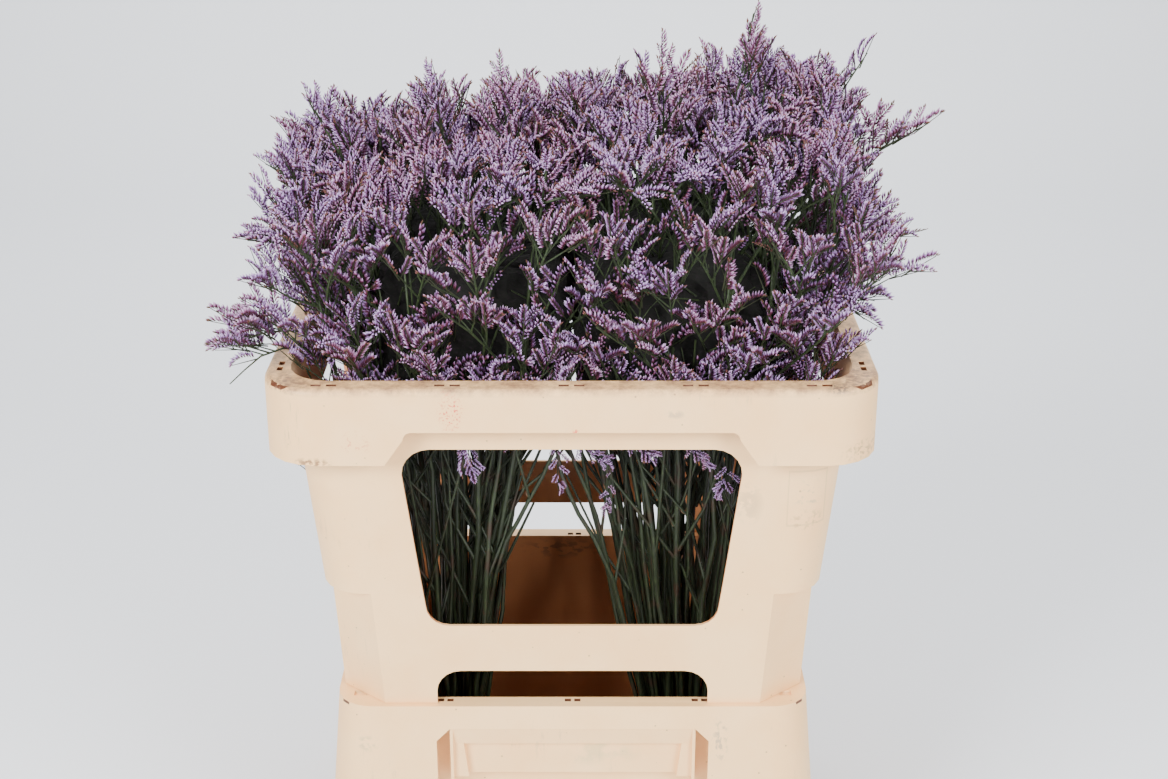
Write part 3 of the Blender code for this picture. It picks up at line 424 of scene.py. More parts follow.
def stem_skin():
    """Green stem of a limonium: matt and ribbed, brown-patched low down, and painted darker below the rim for
    the shade inside the container.
    """
    made, add, shader = new_material("stem_green")
    place = add("TexCoord").outputs["Object"]
    height = add("SeparateXYZ", {0: place}).outputs["Z"]
    # Ribs about 1 mm apart, and patches of 17 mm.
    ribs = add("Mapping", {"Vector": place, "Scale": (900.0, 900.0, 30.0)})
    streak = add("TexNoise", {"Vector": ribs, "Scale": 1.0, "Detail": 3.0})
    patch = add("TexNoise", {"Vector": place, "Scale": 60.0, "Detail": 3.0})
    # The darker ribs are painted shade, for the stem inside the container.
    dark = add("ValToRGB", {"Fac": streak}, [(0.3, "10150a"), (0.55, "1b2411"), (0.75, "303d20")])
    brown_here = add("MapRange", {"Value": patch, "From Min": 0.55, "From Max": 0.68, "To Max": 0.75})
    shaded_and_patched = add("Mix", {0: brown_here, 6: dark, 7: "2d1b11"}, data_type="RGBA").outputs[2]
    upper_ribs = add("ValToRGB", {"Fac": streak}, [(0.3, "1b2414"), (0.55, "2b391d"), (0.75, "43522d")])
    # Painted shade below the rim, the lighter ribs above it.
    above = add("MapRange", {"Value": height, "From Min": 0.47, "From Max": 0.58})
    whole = add("Mix", {0: above, 6: shaded_and_patched, 7: upper_ribs}, data_type="RGBA").outputs[2]
    feed(shader, {"Base Color": whole, "Roughness": 0.55, "IOR": 1.45})
    return made


def papery_floret():
    """Papery floret: green foot, wine-red calyx, lilac tube, nearly white lip. Young ones stay olive and red.

    Its UV map holds the tone of the floret across and the place along the floret upwards.
    """
    made, add, shader = new_material("statice_lilac")
    parts = add("SeparateXYZ", {0: add("UVMap", uv_map="floret")}).outputs
    lilac = add("ValToRGB", {"Fac": parts["Y"]}, [
        (0.0, "1f2817"), (0.16, "333b1f"), (0.30, "471c29"), (0.44, "582c4c"),
        (0.57, "76507f"), (0.76, "9f80b4"), (1.0, "d0bddd"),
    ])
    rosy = add("ValToRGB", {"Fac": parts["Y"]}, [
        (0.0, "222b19"), (0.16, "3c3a22"), (0.30, "5b222a"), (0.45, "6c324a"),
        (0.59, "87547a"), (0.78, "aa83a7"), (1.0, "d4bdd0"),
    ])
    bud = add("ValToRGB", {"Fac": parts["Y"]}, [
        (0.0, "242e19"), (0.14, "384024"), (0.35, "4a4c2c"), (0.60, "593b2b"),
        (0.80, "6b383a"), (1.0, "92686f"),
    ])
    rosier = add("MapRange", {"Value": parts["X"], "From Min": 0.30, "From Max": 0.62})
    mixed = add("Mix", {0: rosier, 6: lilac, 7: rosy}, data_type="RGBA").outputs[2]
    younger = add("MapRange", {"Value": parts["X"], "From Min": 0.78, "From Max": 0.92})
    whole = add("Mix", {0: younger, 6: mixed, 7: bud}, data_type="RGBA").outputs[2]
    feed(shader, {"Base Color": whole, "Roughness": 0.62, "IOR": 1.40})
    return made


def shaded_growth():
    """Stalks and florets packed too close for light: matt, nearly black, mottled green, brown and red."""
    made, add, shader = new_material("shaded_inner_growth")
    place = add("TexCoord").outputs["Object"]
    # Mottles of 2 to 3 mm, the size of the florets' ends.
    mottle = add("TexNoise", {"Vector": place, "Scale": 380.0, "Detail": 4.0, "Roughness": 0.75})
    shades = add("ValToRGB", {"Fac": mottle}, [
        (0.38, "040503"), (0.50, "0c0f07"), (0.57, "0e0709"), (0.70, "241a24"),
    ])
    feed(shader, {"Base Color": shades, "Roughness": 0.95})
    return made


# Small helpers


def put(name, data):
    """A new object in the scene."""
    obj = bpy.data.objects.new(name, data)
    bpy.context.scene.collection.objects.link(obj)
    return obj


def select(*objects):
    """Selects these objects and no others, with the first one active."""
    bpy.ops.object.select_all(action="DESELECT")
    for obj in objects:
        obj.select_set(True)
    bpy.context.view_layer.objects.active = objects[0]


def choose(obj, test):
    """Opens an object for editing with only those of its points selected that pass a test."""
    select(obj)
    bpy.ops.object.mode_set(mode="EDIT")
    bpy.ops.mesh.select_mode(type="VERT")
    bpy.ops.mesh.select_all(action="DESELECT")
    bpy.ops.object.mode_set(mode="OBJECT")
    for vert in obj.data.vertices:
        vert.select = test(vert.co)
    bpy.ops.object.mode_set(mode="EDIT")


def modify(obj, name, kind, **settings):
    """Gives the active object a modifier with its settings, and applies it."""
    made = obj.modifiers.new(name, kind)
    for setting, value in settings.items():
        setattr(made, setting, value)
    bpy.ops.object.modifier_apply(modifier=made.name)


def link_mesh(name, points, triangles, floret_map=None):
    """A smooth mesh object from arrays, with its UV map."""
    mesh = bpy.data.meshes.new(name)
    mesh.vertices.add(len(points))
    mesh.vertices.foreach_set("co", points.astype(np.float32).ravel())
    mesh.loops.add(len(triangles) * 3)
    mesh.loops.foreach_set("vertex_index", triangles.astype(np.int32).ravel())
    mesh.polygons.add(len(triangles))
    mesh.polygons.foreach_set("loop_start", np.arange(0, len(triangles) * 3, 3, dtype=np.int32))
    mesh.update(calc_edges=True)
    mesh.polygons.foreach_set("use_smooth", np.ones(len(triangles), dtype=bool))
    if floret_map is not None:
        layer = mesh.uv_layers.new(name="floret")
        layer.data.foreach_set("uv", floret_map[triangles.ravel()].astype(np.float32).ravel())
    return put(name, mesh)


def mesh_arrays(obj):
    """An object's points and triangles as arrays."""
    mesh = obj.data
    mesh.calc_loop_triangles()
    points = np.empty(len(mesh.vertices) * 3, dtype=np.float32)
    mesh.vertices.foreach_get("co", points)
    triangles = np.empty(len(mesh.loop_triangles) * 3, dtype=np.int32)
    mesh.loop_triangles.foreach_get("vertices", triangles)
    return points.reshape(-1, 3).astype(np.float64), triangles.reshape(-1, 3)


# One floret and one spike


def model_floret(waist, radius):
    """One three-sided floret, 1 unit long, on the origin: a narrow foot, its widest place, a closed tip."""
    bpy.ops.mesh.primitive_cone_add(
        vertices=3, radius1=0.0, radius2=radius, depth=waist, location=(0, 0, waist / 2)
    )
    obj = bpy.context.object
    bpy.ops.object.transform_apply(location=True, rotation=True, scale=True)
    choose(obj, lambda point: point.z > waist - 0.001)
    bpy.ops.mesh.extrude_region_move(TRANSFORM_OT_translate={"value": (0, 0, 1.0 - waist)})
    bpy.ops.mesh.merge(type="CENTER")
    bpy.ops.mesh.select_all(action="SELECT")
    bpy.ops.mesh.normals_make_consistent(inside=False)
    bpy.ops.object.mode_set(mode="OBJECT")
    points, triangles = mesh_arrays(obj)
    bpy.data.objects.remove(obj)
    return points, triangles


def joined(parts):
    """Parts given as points, triangles and floret map, as one."""
    points, triangles, maps = zip(*parts)
    starts = np.cumsum([0, *(len(part) for part in points)])
    shifted = [part + start for part, start in zip(triangles, starts)]
    return np.concatenate(points), np.concatenate(shifted), np.concatenate(maps)


def turn_to(forward, up):
    """A matrix whose columns are forward, sideways and up."""
    forward = forward / np.linalg.norm(forward)
    side = np.cross(up, forward)
    side /= np.linalg.norm(side)
    return np.stack([forward, side, np.cross(forward, side)], axis=1)


def model_spike(floret, count, seed, habit):
    """One flowering spike along +X: a bowed stalk with florets in two rows on its upper side."""
    foot_lean, tip_lean, row_splay, floret_length, buds = habit
    pick = random.Random(seed)
    points, triangles = floret
    bow = pick.uniform(0.04, 0.17)

    def rise(share):
        return SPIKE_LENGTH * bow * math.sin(math.pi * share * 0.9)

    # The bare stalk, three-sided: share of the length and radius at its ends.
    stalk, sides = [], []
    for share, radius in ((0.0, 0.00065), (0.97, 0.00030)):
        for k in range(3):
            turn = 2 * math.pi * k / 3
            spot = (share * SPIKE_LENGTH, radius * math.cos(turn), rise(share) + radius * math.sin(turn))
            stalk.append(spot)
    for a, b in ((0, 1), (1, 2), (2, 0)):
        sides += [(a, a + 3, b), (b, a + 3, b + 3)]
    parts = [(np.array(stalk), np.array(sides), np.tile([0.1, 0.06], (len(stalk), 1)))]
    for i in range(count):
        share = 0.10 + 0.90 * (i + 0.5) / count
        out = 1 if i % 2 else -1
        budding = min(1.0, max(0.0, (share - 1.0 + buds) / 0.10)) if buds < 1 else 1.0
        size = floret_length * (1.0 - 0.42 * budding * min(1.0, 3 * max(0.0, share - 0.6)))
        size *= pick.uniform(0.86, 1.12)
        lean = foot_lean + (tip_lean - foot_lean) * share ** 2 - 18 * budding * (buds < 1)
        lean = math.radians(lean + pick.uniform(-9, 9))
        splay = math.radians(out * row_splay + pick.uniform(-12, 12))
        slope = bow * math.pi * 0.9 * math.cos(math.pi * share * 0.9)
        forward = np.array([1.0, 0.0, slope])
        forward /= np.linalg.norm(forward)
        up = np.array([-forward[2], 0.0, forward[0]])
        side = np.array([0.0, 1.0, 0.0])
        heading = forward * math.cos(lean) + (up * math.cos(splay) + side * math.sin(splay)) * math.sin(lean)
        turned_axes = turn_to(heading, up if share < 0.9 else side)
        # The floret stands along its own z, so its axes are taken in that order.
        axes = np.stack([turned_axes[:, 2], turned_axes[:, 1], turned_axes[:, 0]], axis=1)
        if np.linalg.det(axes) < 0:
            axes[:, 0] *= -1
        base = np.array([share * SPIKE_LENGTH, 0.0, rise(share)])
        level = np.clip(0.10 + 0.90 * points[:, 2], 0.01, 0.99)
        tone = np.full(len(points), pick.uniform(-0.13, 0.13) + 0.75 * budding)
        parts.append(((points * size) @ axes.T + base, triangles, np.stack([tone, level], axis=1)))
    return joined(parts)


def model_bract(floret):
    """A dry brown scale along +X, the kind that sits where a stem forks."""
    points, triangles = floret
    laid = np.stack([points[:, 2], points[:, 0] * 0.30, points[:, 1] * 0.30], axis=1) * SPIKE_LENGTH
    level = 0.40 + 0.24 * points[:, 2]
    return laid, triangles, np.stack([np.full(len(points), 0.95), level], axis=1)


# How the statice grows


def past_outline(x, y, width, depth, radius):
    """How far a point is outside a rounded rectangle, or inside it as a negative number."""
    over_x = abs(x) - (width / 2 - radius)
    over_y = abs(y) - (depth / 2 - radius)
    return math.hypot(max(over_x, 0), max(over_y, 0)) + min(max(over_x, over_y), 0) - radius


def clearance(point):
    """How far a point beside or above the collar's upper part is from its wall or rim."""
    h = point.z - RIM_Z
    level = min(COLLAR_HEIGHT, COLLAR_HEIGHT + h)
    width = STEP_WIDTH + (TOP_WIDTH - STEP_WIDTH) / (COLLAR_HEIGHT - STEP_LEVEL) * (level - STEP_LEVEL)
    depth = FOOT_DEPTH + FRONT_DRAFT * level
    inside = -past_outline(point.x, point.y, width - 2 * PLASTIC, depth - 2 * PLASTIC, WALL_RADIUS)
    return inside if h <= 0 else max(h, inside)


def crown_height(x, y):
    """How far the tips stand above the rim: highest on the right, lower towards the edges."""
    return TIPS_H + TIPS_RISE * x - TIPS_DROP * (y / TIPS_HALF_DEPTH) ** 2


def crown_reach(h):
    """Half width and half depth of the flowering mass at a height."""
    for (low, low_x, low_y), (high, high_x, high_y) in zip(CROWN, CROWN[1:]):
        if h <= high:
            share = max(0.0, (h - low) / (high - low))
            return low_x + (high_x - low_x) * share, low_y + (high_y - low_y) * share
    return 0.02, 0.02


def buried(point):
    """How deep a point lies under the surface of the flowering mass."""
    h = point.z - RIM_Z
    reach_x, reach_y = crown_reach(h)
    return min(reach_x - abs(point.x), reach_y - abs(point.y), crown_height(point.x, point.y) + 0.02 - h)


def within_crown(point, margin):
    """The point, moved in and down where it would stand out of the flowering mass."""
    point = point.copy()
    point.z = min(point.z, RIM_Z + crown_height(point.x, point.y) - 0.3 * margin)
    reach_x, reach_y = crown_reach(point.z - RIM_Z)
    most_x, most_y = max(0.01, reach_x - margin), max(0.01, reach_y - 0.55 * margin)
    return Vector((max(-most_x, min(most_x, point.x)), max(-most_y, min(most_y, point.y)), point.z))


def inside_collar(point, margin=0.006):
    """The point, moved in where it would touch the collar's wall or stand over its rim too low."""
    point = point.copy()
    for _ in range(12):
        if clearance(point) >= margin:
            break
        point.x *= 0.97
        point.y *= 0.97
    return point


def turned(direction, axis, angle):
    """A direction turned about an axis at right angles to it."""
    return direction * math.cos(angle) + axis.cross(direction) * math.sin(angle)


def square_to(way, up, least=0.1):
    """The direction square to a way that is nearest to up, or any one where way and up nearly agree."""
    face = up - way * up.dot(way)
    return face.normalized() if face.length > least else way.orthogonal().normalized()


def above_rim(points):
    """Points given as (x, y, h), in the world."""
    return [Vector((x, y, RIM_Z + h)) for x, y, h in points]


def smooth_path(points, count):
    """Even points on a smooth curve through the given ones."""
    ends = [points[0] * 2 - points[1], *points, points[-1] * 2 - points[-2]]
    path = []
    for i in range(count + 1):
        t = i / count * (len(points) - 1)
        k = min(int(t), len(points) - 2)
        t -= k
        a, b, c, d = ends[k : k + 4]
        curved = b * 2 + (c - a) * t + (a * 2 - b * 5 + c * 4 - d) * t * t
        path.append((curved + (b * 3 - a - c * 3 + d) * t ** 3) / 2)
    return path


def plan_stem(side, row, place):
    """One stem of a bunch: its axis from foot to tip, and its primary branches."""
    pick = random.Random(f"stem {side} {row} {place}")
    column, lane = divmod(place, 2)
    tie = Vector((SIDES[side] * TIE_X, ROWS[row] * TIE_Y, TIE_Z))
    tip_x = SIDES[side] * TIP_X[column] + pick.uniform(-0.012, 0.012)
    tip_y = ROWS[row] * TIP_Y_ROW + (2 * lane - 1) * TIP_Y_SPREAD + pick.uniform(-0.010, 0.010)
    tip = Vector((tip_x, tip_y, RIM_Z + crown_height(tip_x, tip_y) + pick.uniform(-0.026, 0.022)))
    waist = tie + Vector((SIDES[side] * (column - 2) * HOLD_X, (2 * lane - 1) * HOLD_Y, 0))
    foot = tie + (waist - tie) * 1.15
    foot.z = FLOOR_Z
    lean = (tip - waist) / (tip.z - waist.z)

    def axis(z):
        if z < waist.z:
            return foot.lerp(waist, (z - foot.z) / (waist.z - foot.z))
        return waist + lean * (z - waist.z)

    branches = []
    start_angle = pick.uniform(0, 2 * math.pi)
    upward = lean.normalized()
    for k in range(BRANCHES):
        t = k / (BRANCHES - 1)
        root = axis(tip.z - PANICLE_LENGTH * (1 - 0.88 * t) + pick.uniform(-0.008, 0.008))
        length = 0.050 + 0.095 * (1 - t) ** 0.8 + pick.uniform(-0.012, 0.012)
        angle = start_angle + 2.4 * k + pick.uniform(-0.4, 0.4)
        tilt = math.radians(46 - 18 * t + pick.uniform(-9, 9))
        outward = Vector((math.cos(angle), math.sin(angle), 0))
        out_share, up_share = math.sin(tilt), math.cos(tilt)
        middle = root + (outward * out_share + upward * up_share) * length * 0.55
        end = middle + (outward * (out_share + 0.12) + upward * (up_share - 0.10)) * length * 0.45
        branches.append([root, middle, end])
    leader = [axis(tip.z - 0.10), axis(tip.z - 0.045), tip]
    return {"axis": axis, "foot": foot, "tip": tip, "leader": leader, "branches": branches}


class Bunch:
    """What grows in one bunch: stalks as paths with radii, and spikes with their places."""

    def __init__(self, side, row):
        self.side, self.row = side, row
        self.stems, self.stalks, self.spikes, self.plans = [], [], [], []
        self.taken = {}
        self.faces = 0
        self.pick = random.Random(f"growth {side} {row}")

    def sway(self, most_x, most_y):
        """A small random step sideways."""
        return Vector((self.pick.uniform(-most_x, most_x), self.pick.uniform(-most_y, most_y), 0))

    def spike(self, root, heading, up, length, tone, free=False):
        """Stands a spike on a stalk, unless it would lie too deep or in the collar."""
        pick = self.pick
        tip = root + heading * length
        depth = buried(tip)
        if not free:
            if pick.random() < (depth - THIN_FROM) * 55:
                return
            if tip.z < RIM_Z - 0.012 and pick.random() < 0.3:
                return
            if min(clearance(root), clearance(tip)) < 0.003 or clearance(root.lerp(tip, 0.5)) < 0.004:
                return
        for axis, margin in enumerate(PAST_CAD):
            if not cad_low[axis] - margin < tip[axis] < cad_high[axis] + margin:
                return
        face = turned(square_to(heading, up, 0.05), heading, pick.uniform(-0.40, 0.40))
        if depth > PLAIN_FROM and not free:
            kind = "plain"
        elif pick.random() < 0.08 and tip.z > RIM_Z + 0.09:
            kind = "budding"
        else:
            kind = "ear" if abs(heading.z) > 0.72 else "comb"
        self.spikes.append((root, heading, face, length, tone, kind))
        self.faces += len(spike_models[kind][0][1])
        for share in (0.4, 1.0):
            place = tuple(math.floor(c / CELL) for c in root + heading * length * share)
            self.taken[place] = self.taken.get(place, 0) + 1

    def bract(self, root, heading, length):
        """A brown scale on a stem."""
        self.spikes.append((root, heading, heading.orthogonal().normalized(), length, 0.0, "bract"))

    def frond(self, points, thick, laterals=8, first=0.30, twig=False, tone=None, free=False, scale=1.0):
        """A branch with spikes on both sides of its outer part and one at its end."""
        pick = self.pick
        count = 2 if twig else 5
        path = smooth_path(points, count)
        whole = sum((b - a).length for a, b in zip(path, path[1:]))
        self.stalks.append((path, [thick * (1 - 0.6 * i / count) for i in range(count + 1)]))
        centre = Vector((SIDES[self.side] * TIE_X, ROWS[self.row] * TIE_Y, 0))
        outward = Vector((path[-1].x, path[-1].y, 0)) - centre * 0.6
        up = (Vector((0, 0, 1)) + outward.normalized() * 0.30).normalized()
        roll = pick.uniform(-0.6, 0.6)
        tone = pick.uniform(0.16, 0.62) if tone is None else tone
        climb = 0.0 if free else 0.12 + 0.25 * min(1.0, max(0.0, (path[-1].z - RIM_Z - 0.06) / 0.10))
        for j in range(laterals):
            share = first + (0.94 - first) * (j + pick.uniform(0.2, 0.8)) / laterals
            t = share * count
            k = min(int(t), count - 1)
            root = path[k].lerp(path[k + 1], t - k)
            along = (path[k + 1] - path[k]).normalized()
            face = turned(square_to(along, up), along, roll)
            spread = math.radians(pick.uniform(28, 50)) * (1 if j % 2 else -1)
            heading = turned(along, face, spread) + face * pick.uniform(0.0, 0.42)
            heading = (heading + Vector((0, 0, climb))).normalized()
            reach = (0.030 - 0.009 * (share - first) / (1 - first)) * pick.uniform(0.74, 1.12) * scale
            own_tone = min(0.74, max(0.05, tone + pick.uniform(-0.14, 0.14)))
            if not twig and share < 0.62 and whole > 0.055 and scale > 0.8:
                far = root + heading * reach * pick.uniform(1.3, 1.7)
                bend = root.lerp(far, 0.5) + face * 0.002
                self.frond([root, bend, far], thick * 0.62, 3, 0.35, twig=True, tone=own_tone)
            else:
                self.spike(root, heading, face, reach, own_tone, free)
        end_way = (path[-1] - path[-2]).normalized()
        face = square_to(end_way, up)
        end_way = (end_way + face * 0.12).normalized()
        foot = path[-1] - end_way * 0.016 * scale
        self.spike(foot, end_way, face, pick.uniform(0.026, 0.034) * scale, tone, free)

    def fork(self, path, radius):
        """A side branch on a stem, between the arches and the top of the window, with a scale at its foot."""
        pick = self.pick
        z = pick.uniform(FORK_LOW, FORK_HIGH)
        for a, b in zip(path, path[1:]):
            if a.z <= z < b.z:
                start = a.lerp(b, (z - a.z) / (b.z - a.z))
                along = (b - a).normalized()
        across = Vector((1.0 if pick.random() < 0.5 else -1.0, 0.0, 0.0))
        across = (across + Vector((0, pick.uniform(-0.7, 0.7), 0))).normalized()
        angle = math.radians(pick.uniform(16, 38))
        heading = (along * math.cos(angle) + across * math.sin(angle)).normalized()
        reach = pick.uniform(0.09, 0.16)
        knee = inside_collar(start + heading * reach * 0.40, 0.008)
        end = inside_collar(knee + (heading + along * 0.6).normalized() * reach * 0.55, 0.008)
        end = Vector((end.x, max(-FORK_Y, min(FORK_Y, end.y)), end.z))
        self.stems.append(([start, knee, end], [radius, radius * 0.8, radius * 0.55]))
        for way in (along, heading):
            self.bract(start - along * 0.001, (way + across * 0.12).normalized(), pick.uniform(0.006, 0.011))
        if pick.random() < 0.6:
            self.bract(knee, (along - across * 0.25).normalized(), pick.uniform(0.005, 0.009))

    def main_stem(self, place):
        """One of the ten stems that carry the bunch's shape, with its forks, its leader and its branches."""
        stem = plan_stem(self.side, self.row, place)
        self.plans.append(stem)
        top_z = stem["tip"].z
        levels = [FLOOR_Z, TIE_Z, *BEND_LEVELS, top_z - 0.04, top_z - 0.012]
        path, radii = [], []
        for i, z in enumerate(levels):
            point = stem["foot"].copy() if i == 0 else stem["axis"](z)
            if 1 < i < len(levels) - 2:
                point += self.sway(0.0040, 0.0026)
            path.append(point)
            radii.append(STEM_RADIUS - STEM_LOSS * max(0.0, z - TAPER_Z) / (top_z - TAPER_Z))
        self.stems.append((path, radii))
        self.fork(path, 0.0018)
        self.fork(path, 0.0015)
        self.frond(stem["leader"], thick=0.0010, laterals=10, first=0.05, scale=0.78)
        for k, branch in enumerate(stem["branches"]):
            points = [inside_collar(within_crown(q, margin)) for q, margin in zip(branch, BRANCH_MARGINS)]
            if k:
                self.frond(points, thick=0.0014, first=0.28)
                continue
            # The lowest branch leaves the stem further down and passes the foot of the flowering head.
            start = stem["axis"](points[0].z - 0.085)
            reach = start.lerp(points[2], (RIM_Z + HEAD_FOOT - start.z) / (points[2].z - start.z))
            self.frond([start, inside_collar(reach, 0.010), points[2]], thick=0.0017, first=0.45)

    def fill_stem(self, number):
        """A thinner stem that fills a gap between the ten that carry the bunch's shape."""
        pick = self.pick
        share = (number + pick.random()) / FILL_STEMS
        way, row = SIDES[self.side], ROWS[self.row]
        low_near, low_width, high_near, high_width = FAN[self.side]
        low_x, high_x = way * (low_near + low_width * share), way * (high_near + high_width * share)
        low = Vector((low_x, row * TIE_Y + pick.uniform(-0.020, 0.020), TIE_Z))
        high = Vector((high_x, row * FAN_Y_ROW + pick.uniform(-0.034, 0.034), FAN_TOP))
        path, radii = [], []
        thick = pick.uniform(0.0014, 0.0023)
        for i, z in enumerate((FLOOR_Z + 0.002, TIE_Z, *FILL_LEVELS)):
            t = (z - TIE_Z) / (FAN_TOP - TIE_Z)
            point = low.lerp(high, t) if t > 0 else Vector((low.x, low.y, z))
            if i > 1:
                point += self.sway(0.0026, 0.0026)
            path.append(inside_collar(point, 0.008) if z > 0.36 else point)
            radii.append(thick * (1.0 - 0.5 * max(0.0, z - TAPER_Z) / (FILL_LEVELS[-1] - TAPER_Z)))
        self.stems.append((path, radii))
        if number % 2:
            self.fork(path, thick * 0.75)

    def grow(self):
        """Grows the whole bunch: stems, forks, branches with their spikes, and the sprigs apart."""
        for place in range(2 * len(TIP_X)):
            self.main_stem(place)
        for number in range(FILL_STEMS):
            self.fill_stem(number)
        own = (self.side, self.row)
        for points in LEANING.get(own, ()):
            points = [Vector(point) for point in points]
            path = smooth_path([Vector((points[0].x, points[0].y, FLOOR_Z + 0.002)), *points], 12)
            self.stems.append((path, [0.0023 - 0.0009 * i / 12 for i in range(13)]))
            self.fork(path, 0.0014)
        for points in OUTLIERS.get(own, ()):
            self.frond(above_rim(points), thick=0.0012, laterals=10, scale=0.85)
        for points, scale in HANGING.get(own, ()):
            self.frond(above_rim(points), thick=0.0007, laterals=6, first=0.45, free=True, scale=scale)
        self.fill_gaps()

    def fill_gaps(self):
        """More branches where the surface of the mass is thin, until the bunch has its share of faces."""
        pick = self.pick
        for _ in range(TRIES):
            if self.faces > FACES_A_BUNCH:
                break
            x = SIDES[self.side] * pick.uniform(0.0, GAP_X)
            y = ROWS[self.row] * GAP_Y_ROW + pick.uniform(-GAP_Y_SPREAD, GAP_Y_SPREAD)
            goal = Vector((x, y, RIM_Z + pick.uniform(GAP_LOW, GAP_HIGH)))
            if not 0.010 < buried(goal) < 0.042 or clearance(goal) < 0.012:
                continue
            cell = [math.floor(c / CELL) for c in goal]
            near = sum(
                self.taken.get((cell[0] + i, cell[1] + j, cell[2] + k), 0)
                for i in (-1, 0, 1) for j in (-1, 0, 1) for k in (-1, 0, 1)
            )
            if near > MARKS_AROUND:
                continue
            level = goal.z - pick.uniform(0.04, 0.09)
            start = min((stem["axis"](level) for stem in self.plans), key=lambda q: (q - goal).length)
            if not 0.030 < (goal - start).length < 0.17:
                continue
            bend = inside_collar(start.lerp(goal, 0.55) + Vector((0, 0, -0.006)))
            self.frond([start, bend, goal], thick=0.0010, laterals=7, first=0.42, scale=0.95)


def stalk_object(name, stalks, rounding):
    """Paths with radii as one mesh of closed tubes. A rounding of 0 gives four sides and 1 gives six."""
    curve = bpy.data.curves.new(name, "CURVE")
    curve.dimensions = "3D"
    curve.bevel_depth = 1.0
    curve.bevel_resolution = rounding
    curve.use_fill_caps = True
    for path, radii in stalks:
        line = curve.splines.new("POLY")
        line.points.add(len(path) - 1)
        for spot, point, radius in zip(line.points, path, radii):
            spot.co = (*point, 1.0)
            spot.radius = radius
    select(put(name, curve))
    bpy.ops.object.convert(target="MESH")
    bpy.ops.object.shade_smooth()
    return bpy.context.object


def spikes_object(name, spikes, models):
    """All the spikes of a bunch as one mesh: copies of the modelled ones."""
    parts = []
    for number, (root, heading, face, length, tone, kind) in enumerate(spikes):
        points, triangles, place_map = models[kind][number % len(models[kind])]
        axes = turn_to(np.array(heading), np.array(face))
        size = length / SPIKE_LENGTH
        # Florets keep nearly their own size on a longer or shorter spike.
        cross = 0.5 + 0.5 * size
        mapped = place_map.copy()
        mapped[:, 0] = np.clip(mapped[:, 0] + tone, 0.01, 0.99)
        # Painted shade: plain spikes lie deep in the mass, so their florets stop short of the pale lip.
        if kind == "plain":
            mapped[:, 1] *= 0.86
        parts.append(((points * [size, cross, cross]) @ axes.T + np.array(root), triangles, mapped))
    return link_mesh(name, *joined(parts))


def inner_growth(side, row):
    """The dense inside of a bunch, where packed stalks and florets let no light through: a lumpy mass."""
    low = Vector((INNER_X[0], INNER_Y[row][0], RIM_Z + INNER_LOW))
    high = Vector((INNER_X[1], INNER_Y[row][1], RIM_Z + INNER_HIGH))
    if SIDES[side] < 0:
        low.x, high.x = -high.x, -low.x
    bpy.ops.mesh.primitive_cube_add(size=1, location=(low + high) / 2, scale=high - low)
    obj = bpy.context.object
    bpy.ops.object.transform_apply(location=True, rotation=False, scale=True)
    bpy.ops.object.mode_set(mode="EDIT")
    bpy.ops.mesh.select_all(action="SELECT")
    bpy.ops.mesh.subdivide(number_cuts=15)
    bpy.ops.mesh.vertices_smooth(factor=0.5, repeat=24)
    bpy.ops.object.mode_set(mode="OBJECT")
    for name, scale, strength in (("lumps", 0.024, 0.020), ("tips", 0.007, 0.014)):
        lumps = bpy.data.textures.new(name, "CLOUDS")
        lumps.noise_scale = scale
        modify(obj, name, "DISPLACE", texture=lumps, texture_coords="LOCAL", strength=strength)
    return obj


# The container


def slot_pairs(places, apart, lane, top, size):
    """Slots in pairs along both long edges of a rim: centre and size of each."""
    return [
        ((x + side * apart, way * lane, top), size) for x in places for side in (-1, 1) for way in (-1, 1)
    ]


def cut_slots(obj, slots):
    """Cuts small slots into an object: a block for each, added at its place and size."""
    blocks = []
    for centre, size in slots:
        bpy.ops.mesh.primitive_cube_add(size=1, location=centre, scale=size)
        blocks.append(bpy.context.object)
    select(*blocks)
    bpy.ops.object.join()
    select(obj)
    modify(obj, "slots", "BOOLEAN", operation="DIFFERENCE", solver="EXACT", object=blocks[0])
    bpy.data.objects.remove(blocks[0])


def dressed_copy(node, name, finish, rounded_rim, slots):
    """A CAD node's shape with its rim rounded, its slots cut and its edges eased as the mould leaves them."""
    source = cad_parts[node]
    obj = source.copy()
    obj.data = source.data.copy()
    obj.name = name
    obj.parent = None
    bpy.context.scene.collection.objects.link(obj)
    choose(obj, lambda point: True)
    bpy.ops.mesh.remove_doubles(threshold=0.00001)
    bpy.ops.mesh.dissolve_limited(angle_limit=math.radians(0.3))
    bpy.ops.object.mode_set(mode="OBJECT")
    if rounded_rim:
        choose(obj, lambda p: p.z > RIM_Z - 0.0003 and past_outline(p.x, p.y, *RIM_SIZE, RIM_RADIUS) > -0.002)
        bpy.ops.mesh.bevel(offset=rounded_rim, segments=3, affect="EDGES")
        bpy.ops.object.mode_set(mode="OBJECT")
    modify(
        obj, "rounded edges", "BEVEL",
        width=EDGE_ROUND, segments=2, limit_method="ANGLE", angle_limit=math.radians(32),
    )
    cut_slots(obj, slots)
    select(obj)
    bpy.ops.object.shade_smooth_by_angle(angle=math.radians(40))
    modify(obj, "even shading", "WEIGHTED_NORMAL", keep_sharp=True)
    obj.data.materials.clear()
    obj.data.materials.append(finish)
    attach(obj, "root")
    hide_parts(node)


# Make it all

cream = cream_polypropylene()
green = stem_skin()
papery = papery_floret()
shaded = shaded_growth()

bucket_slots = slot_pairs(BUCKET_PAIRS, BUCKET_SLOT_APART, SLOT_LANES[0], BUCKET_HEIGHT, BUCKET_SLOT)
bucket_slots += [
    ((x * CORNER_SLOT_X, y * CORNER_SLOT_Y, BUCKET_HEIGHT), CORNER_SLOT) for x in (-1, 1) for y in (-1, 1)
]
collar_slots = slot_pairs(LIP_PAIRS_X, LIP_SLOT_APART, SLOT_LANES[1], RIM_Z, LIP_SLOT)
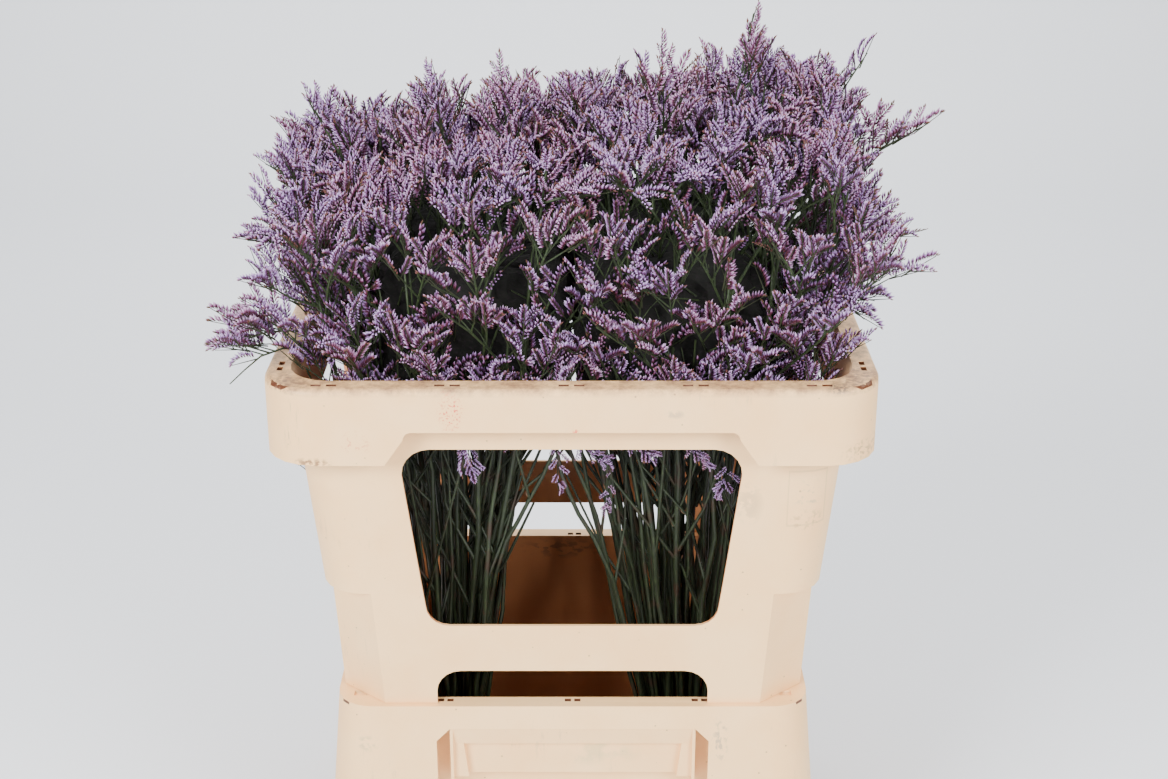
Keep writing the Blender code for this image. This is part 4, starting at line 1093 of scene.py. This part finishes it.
# Along the short edges x and y change places.
for (x, y, z), (long, wide, deep) in slot_pairs(LIP_PAIRS_Y, LIP_SLOT_APART, SLOT_LANES[2], RIM_Z, LIP_SLOT):
    collar_slots.append(((y, x, z), (wide, long, deep)))
dressed_copy("bucket", "worn_bucket", cream, 0.0, bucket_slots)
dressed_copy("collar", "worn_collar", cream, RIM_ROUND, collar_slots)

slim = model_floret(waist=0.58, radius=0.158)
full = model_floret(waist=0.56, radius=0.190)
spike_models = {
    "comb": [model_spike(slim, 20, f"comb {i}", COMB) for i in range(10)],
    "ear": [model_spike(slim, 20, f"ear {i}", EAR) for i in range(10)],
    "budding": [model_spike(slim, 16, f"budding {i}", BUDDING) for i in range(4)],
    "plain": [
        *(model_spike(full, 13, f"plain {i}", COMB) for i in range(3)),
        model_spike(full, 13, "plain ear", EAR),
    ],
    "bract": [model_bract(full)],
}

for side in SIDES:
    for row in ROWS:
        bunch = Bunch(side, row)
        bunch.grow()
        stems = stalk_object(f"stem_fan_{side}_{row}", bunch.stems, 1)
        branches = stalk_object(f"branches_{side}_{row}", bunch.stalks, 0)
        select(stems, branches)
        bpy.ops.object.join()
        stems.data.materials.append(green)
        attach(stems, "root")
        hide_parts(f"stems_{side}_{row}")
        florets = spikes_object(f"floret_spikes_{side}_{row}", bunch.spikes, spike_models)
        florets.data.materials.append(papery)
        inside = inner_growth(side, row)
        inside.data.materials.append(shaded)
        select(florets, inside)
        bpy.ops.object.join()
        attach(florets, "root")
        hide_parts(f"sprays_{side}_{row}")


# Stage, light and camera


def pale_stage():
    """A seamless pale sheet: floor, round cove and wall."""
    made, _, shader = new_material("pale_backdrop")
    feed(shader, {"Base Color": "dfe2e7", "Roughness": 0.9})
    outline = [(-STAGE_DEPTH, 0.0)]
    for k in range(13):
        turn = math.pi / 2 * k / 12
        outline.append((STAGE_DEPTH - COVE + COVE * math.sin(turn), COVE * (1 - math.cos(turn))))
    outline.append((STAGE_DEPTH, STAGE_HEIGHT))
    points = [(x, y, z) for y, z in outline for x in (-STAGE_HALF_WIDTH, STAGE_HALF_WIDTH)]
    faces = []
    for a in range(0, len(points) - 2, 2):
        faces += [(a, a + 1, a + 3), (a, a + 3, a + 2)]
    obj = link_mesh("backdrop", np.array(points), np.array(faces))
    obj.data.materials.append(made)


pale_stage()

world = bpy.data.worlds.new("studio air")
bpy.context.scene.world = world
world.use_nodes = True
feed(world.node_tree.nodes["Background"], {"Color": "fbfaf8", "Strength": AIR_LIGHT})

for name, place, aim, size, power in LAMPS:
    light = bpy.data.lights.new(name, "AREA")
    light.shape = "SQUARE"
    light.size = size
    light.energy = power
    lamp = put(name, light)
    lamp.location = place
    lamp.rotation_euler = (Vector(aim) - Vector(place)).to_track_quat("-Z", "Y").to_euler()

camera = bpy.data.cameras.new("camera")
camera.lens = LENS
camera.sensor_width = SENSOR
viewer = put("camera", camera)
viewer.location = CAMERA_AT
viewer.rotation_euler = (math.radians(CAMERA_TILT), 0.0, 0.0)
bpy.context.scene.camera = viewer
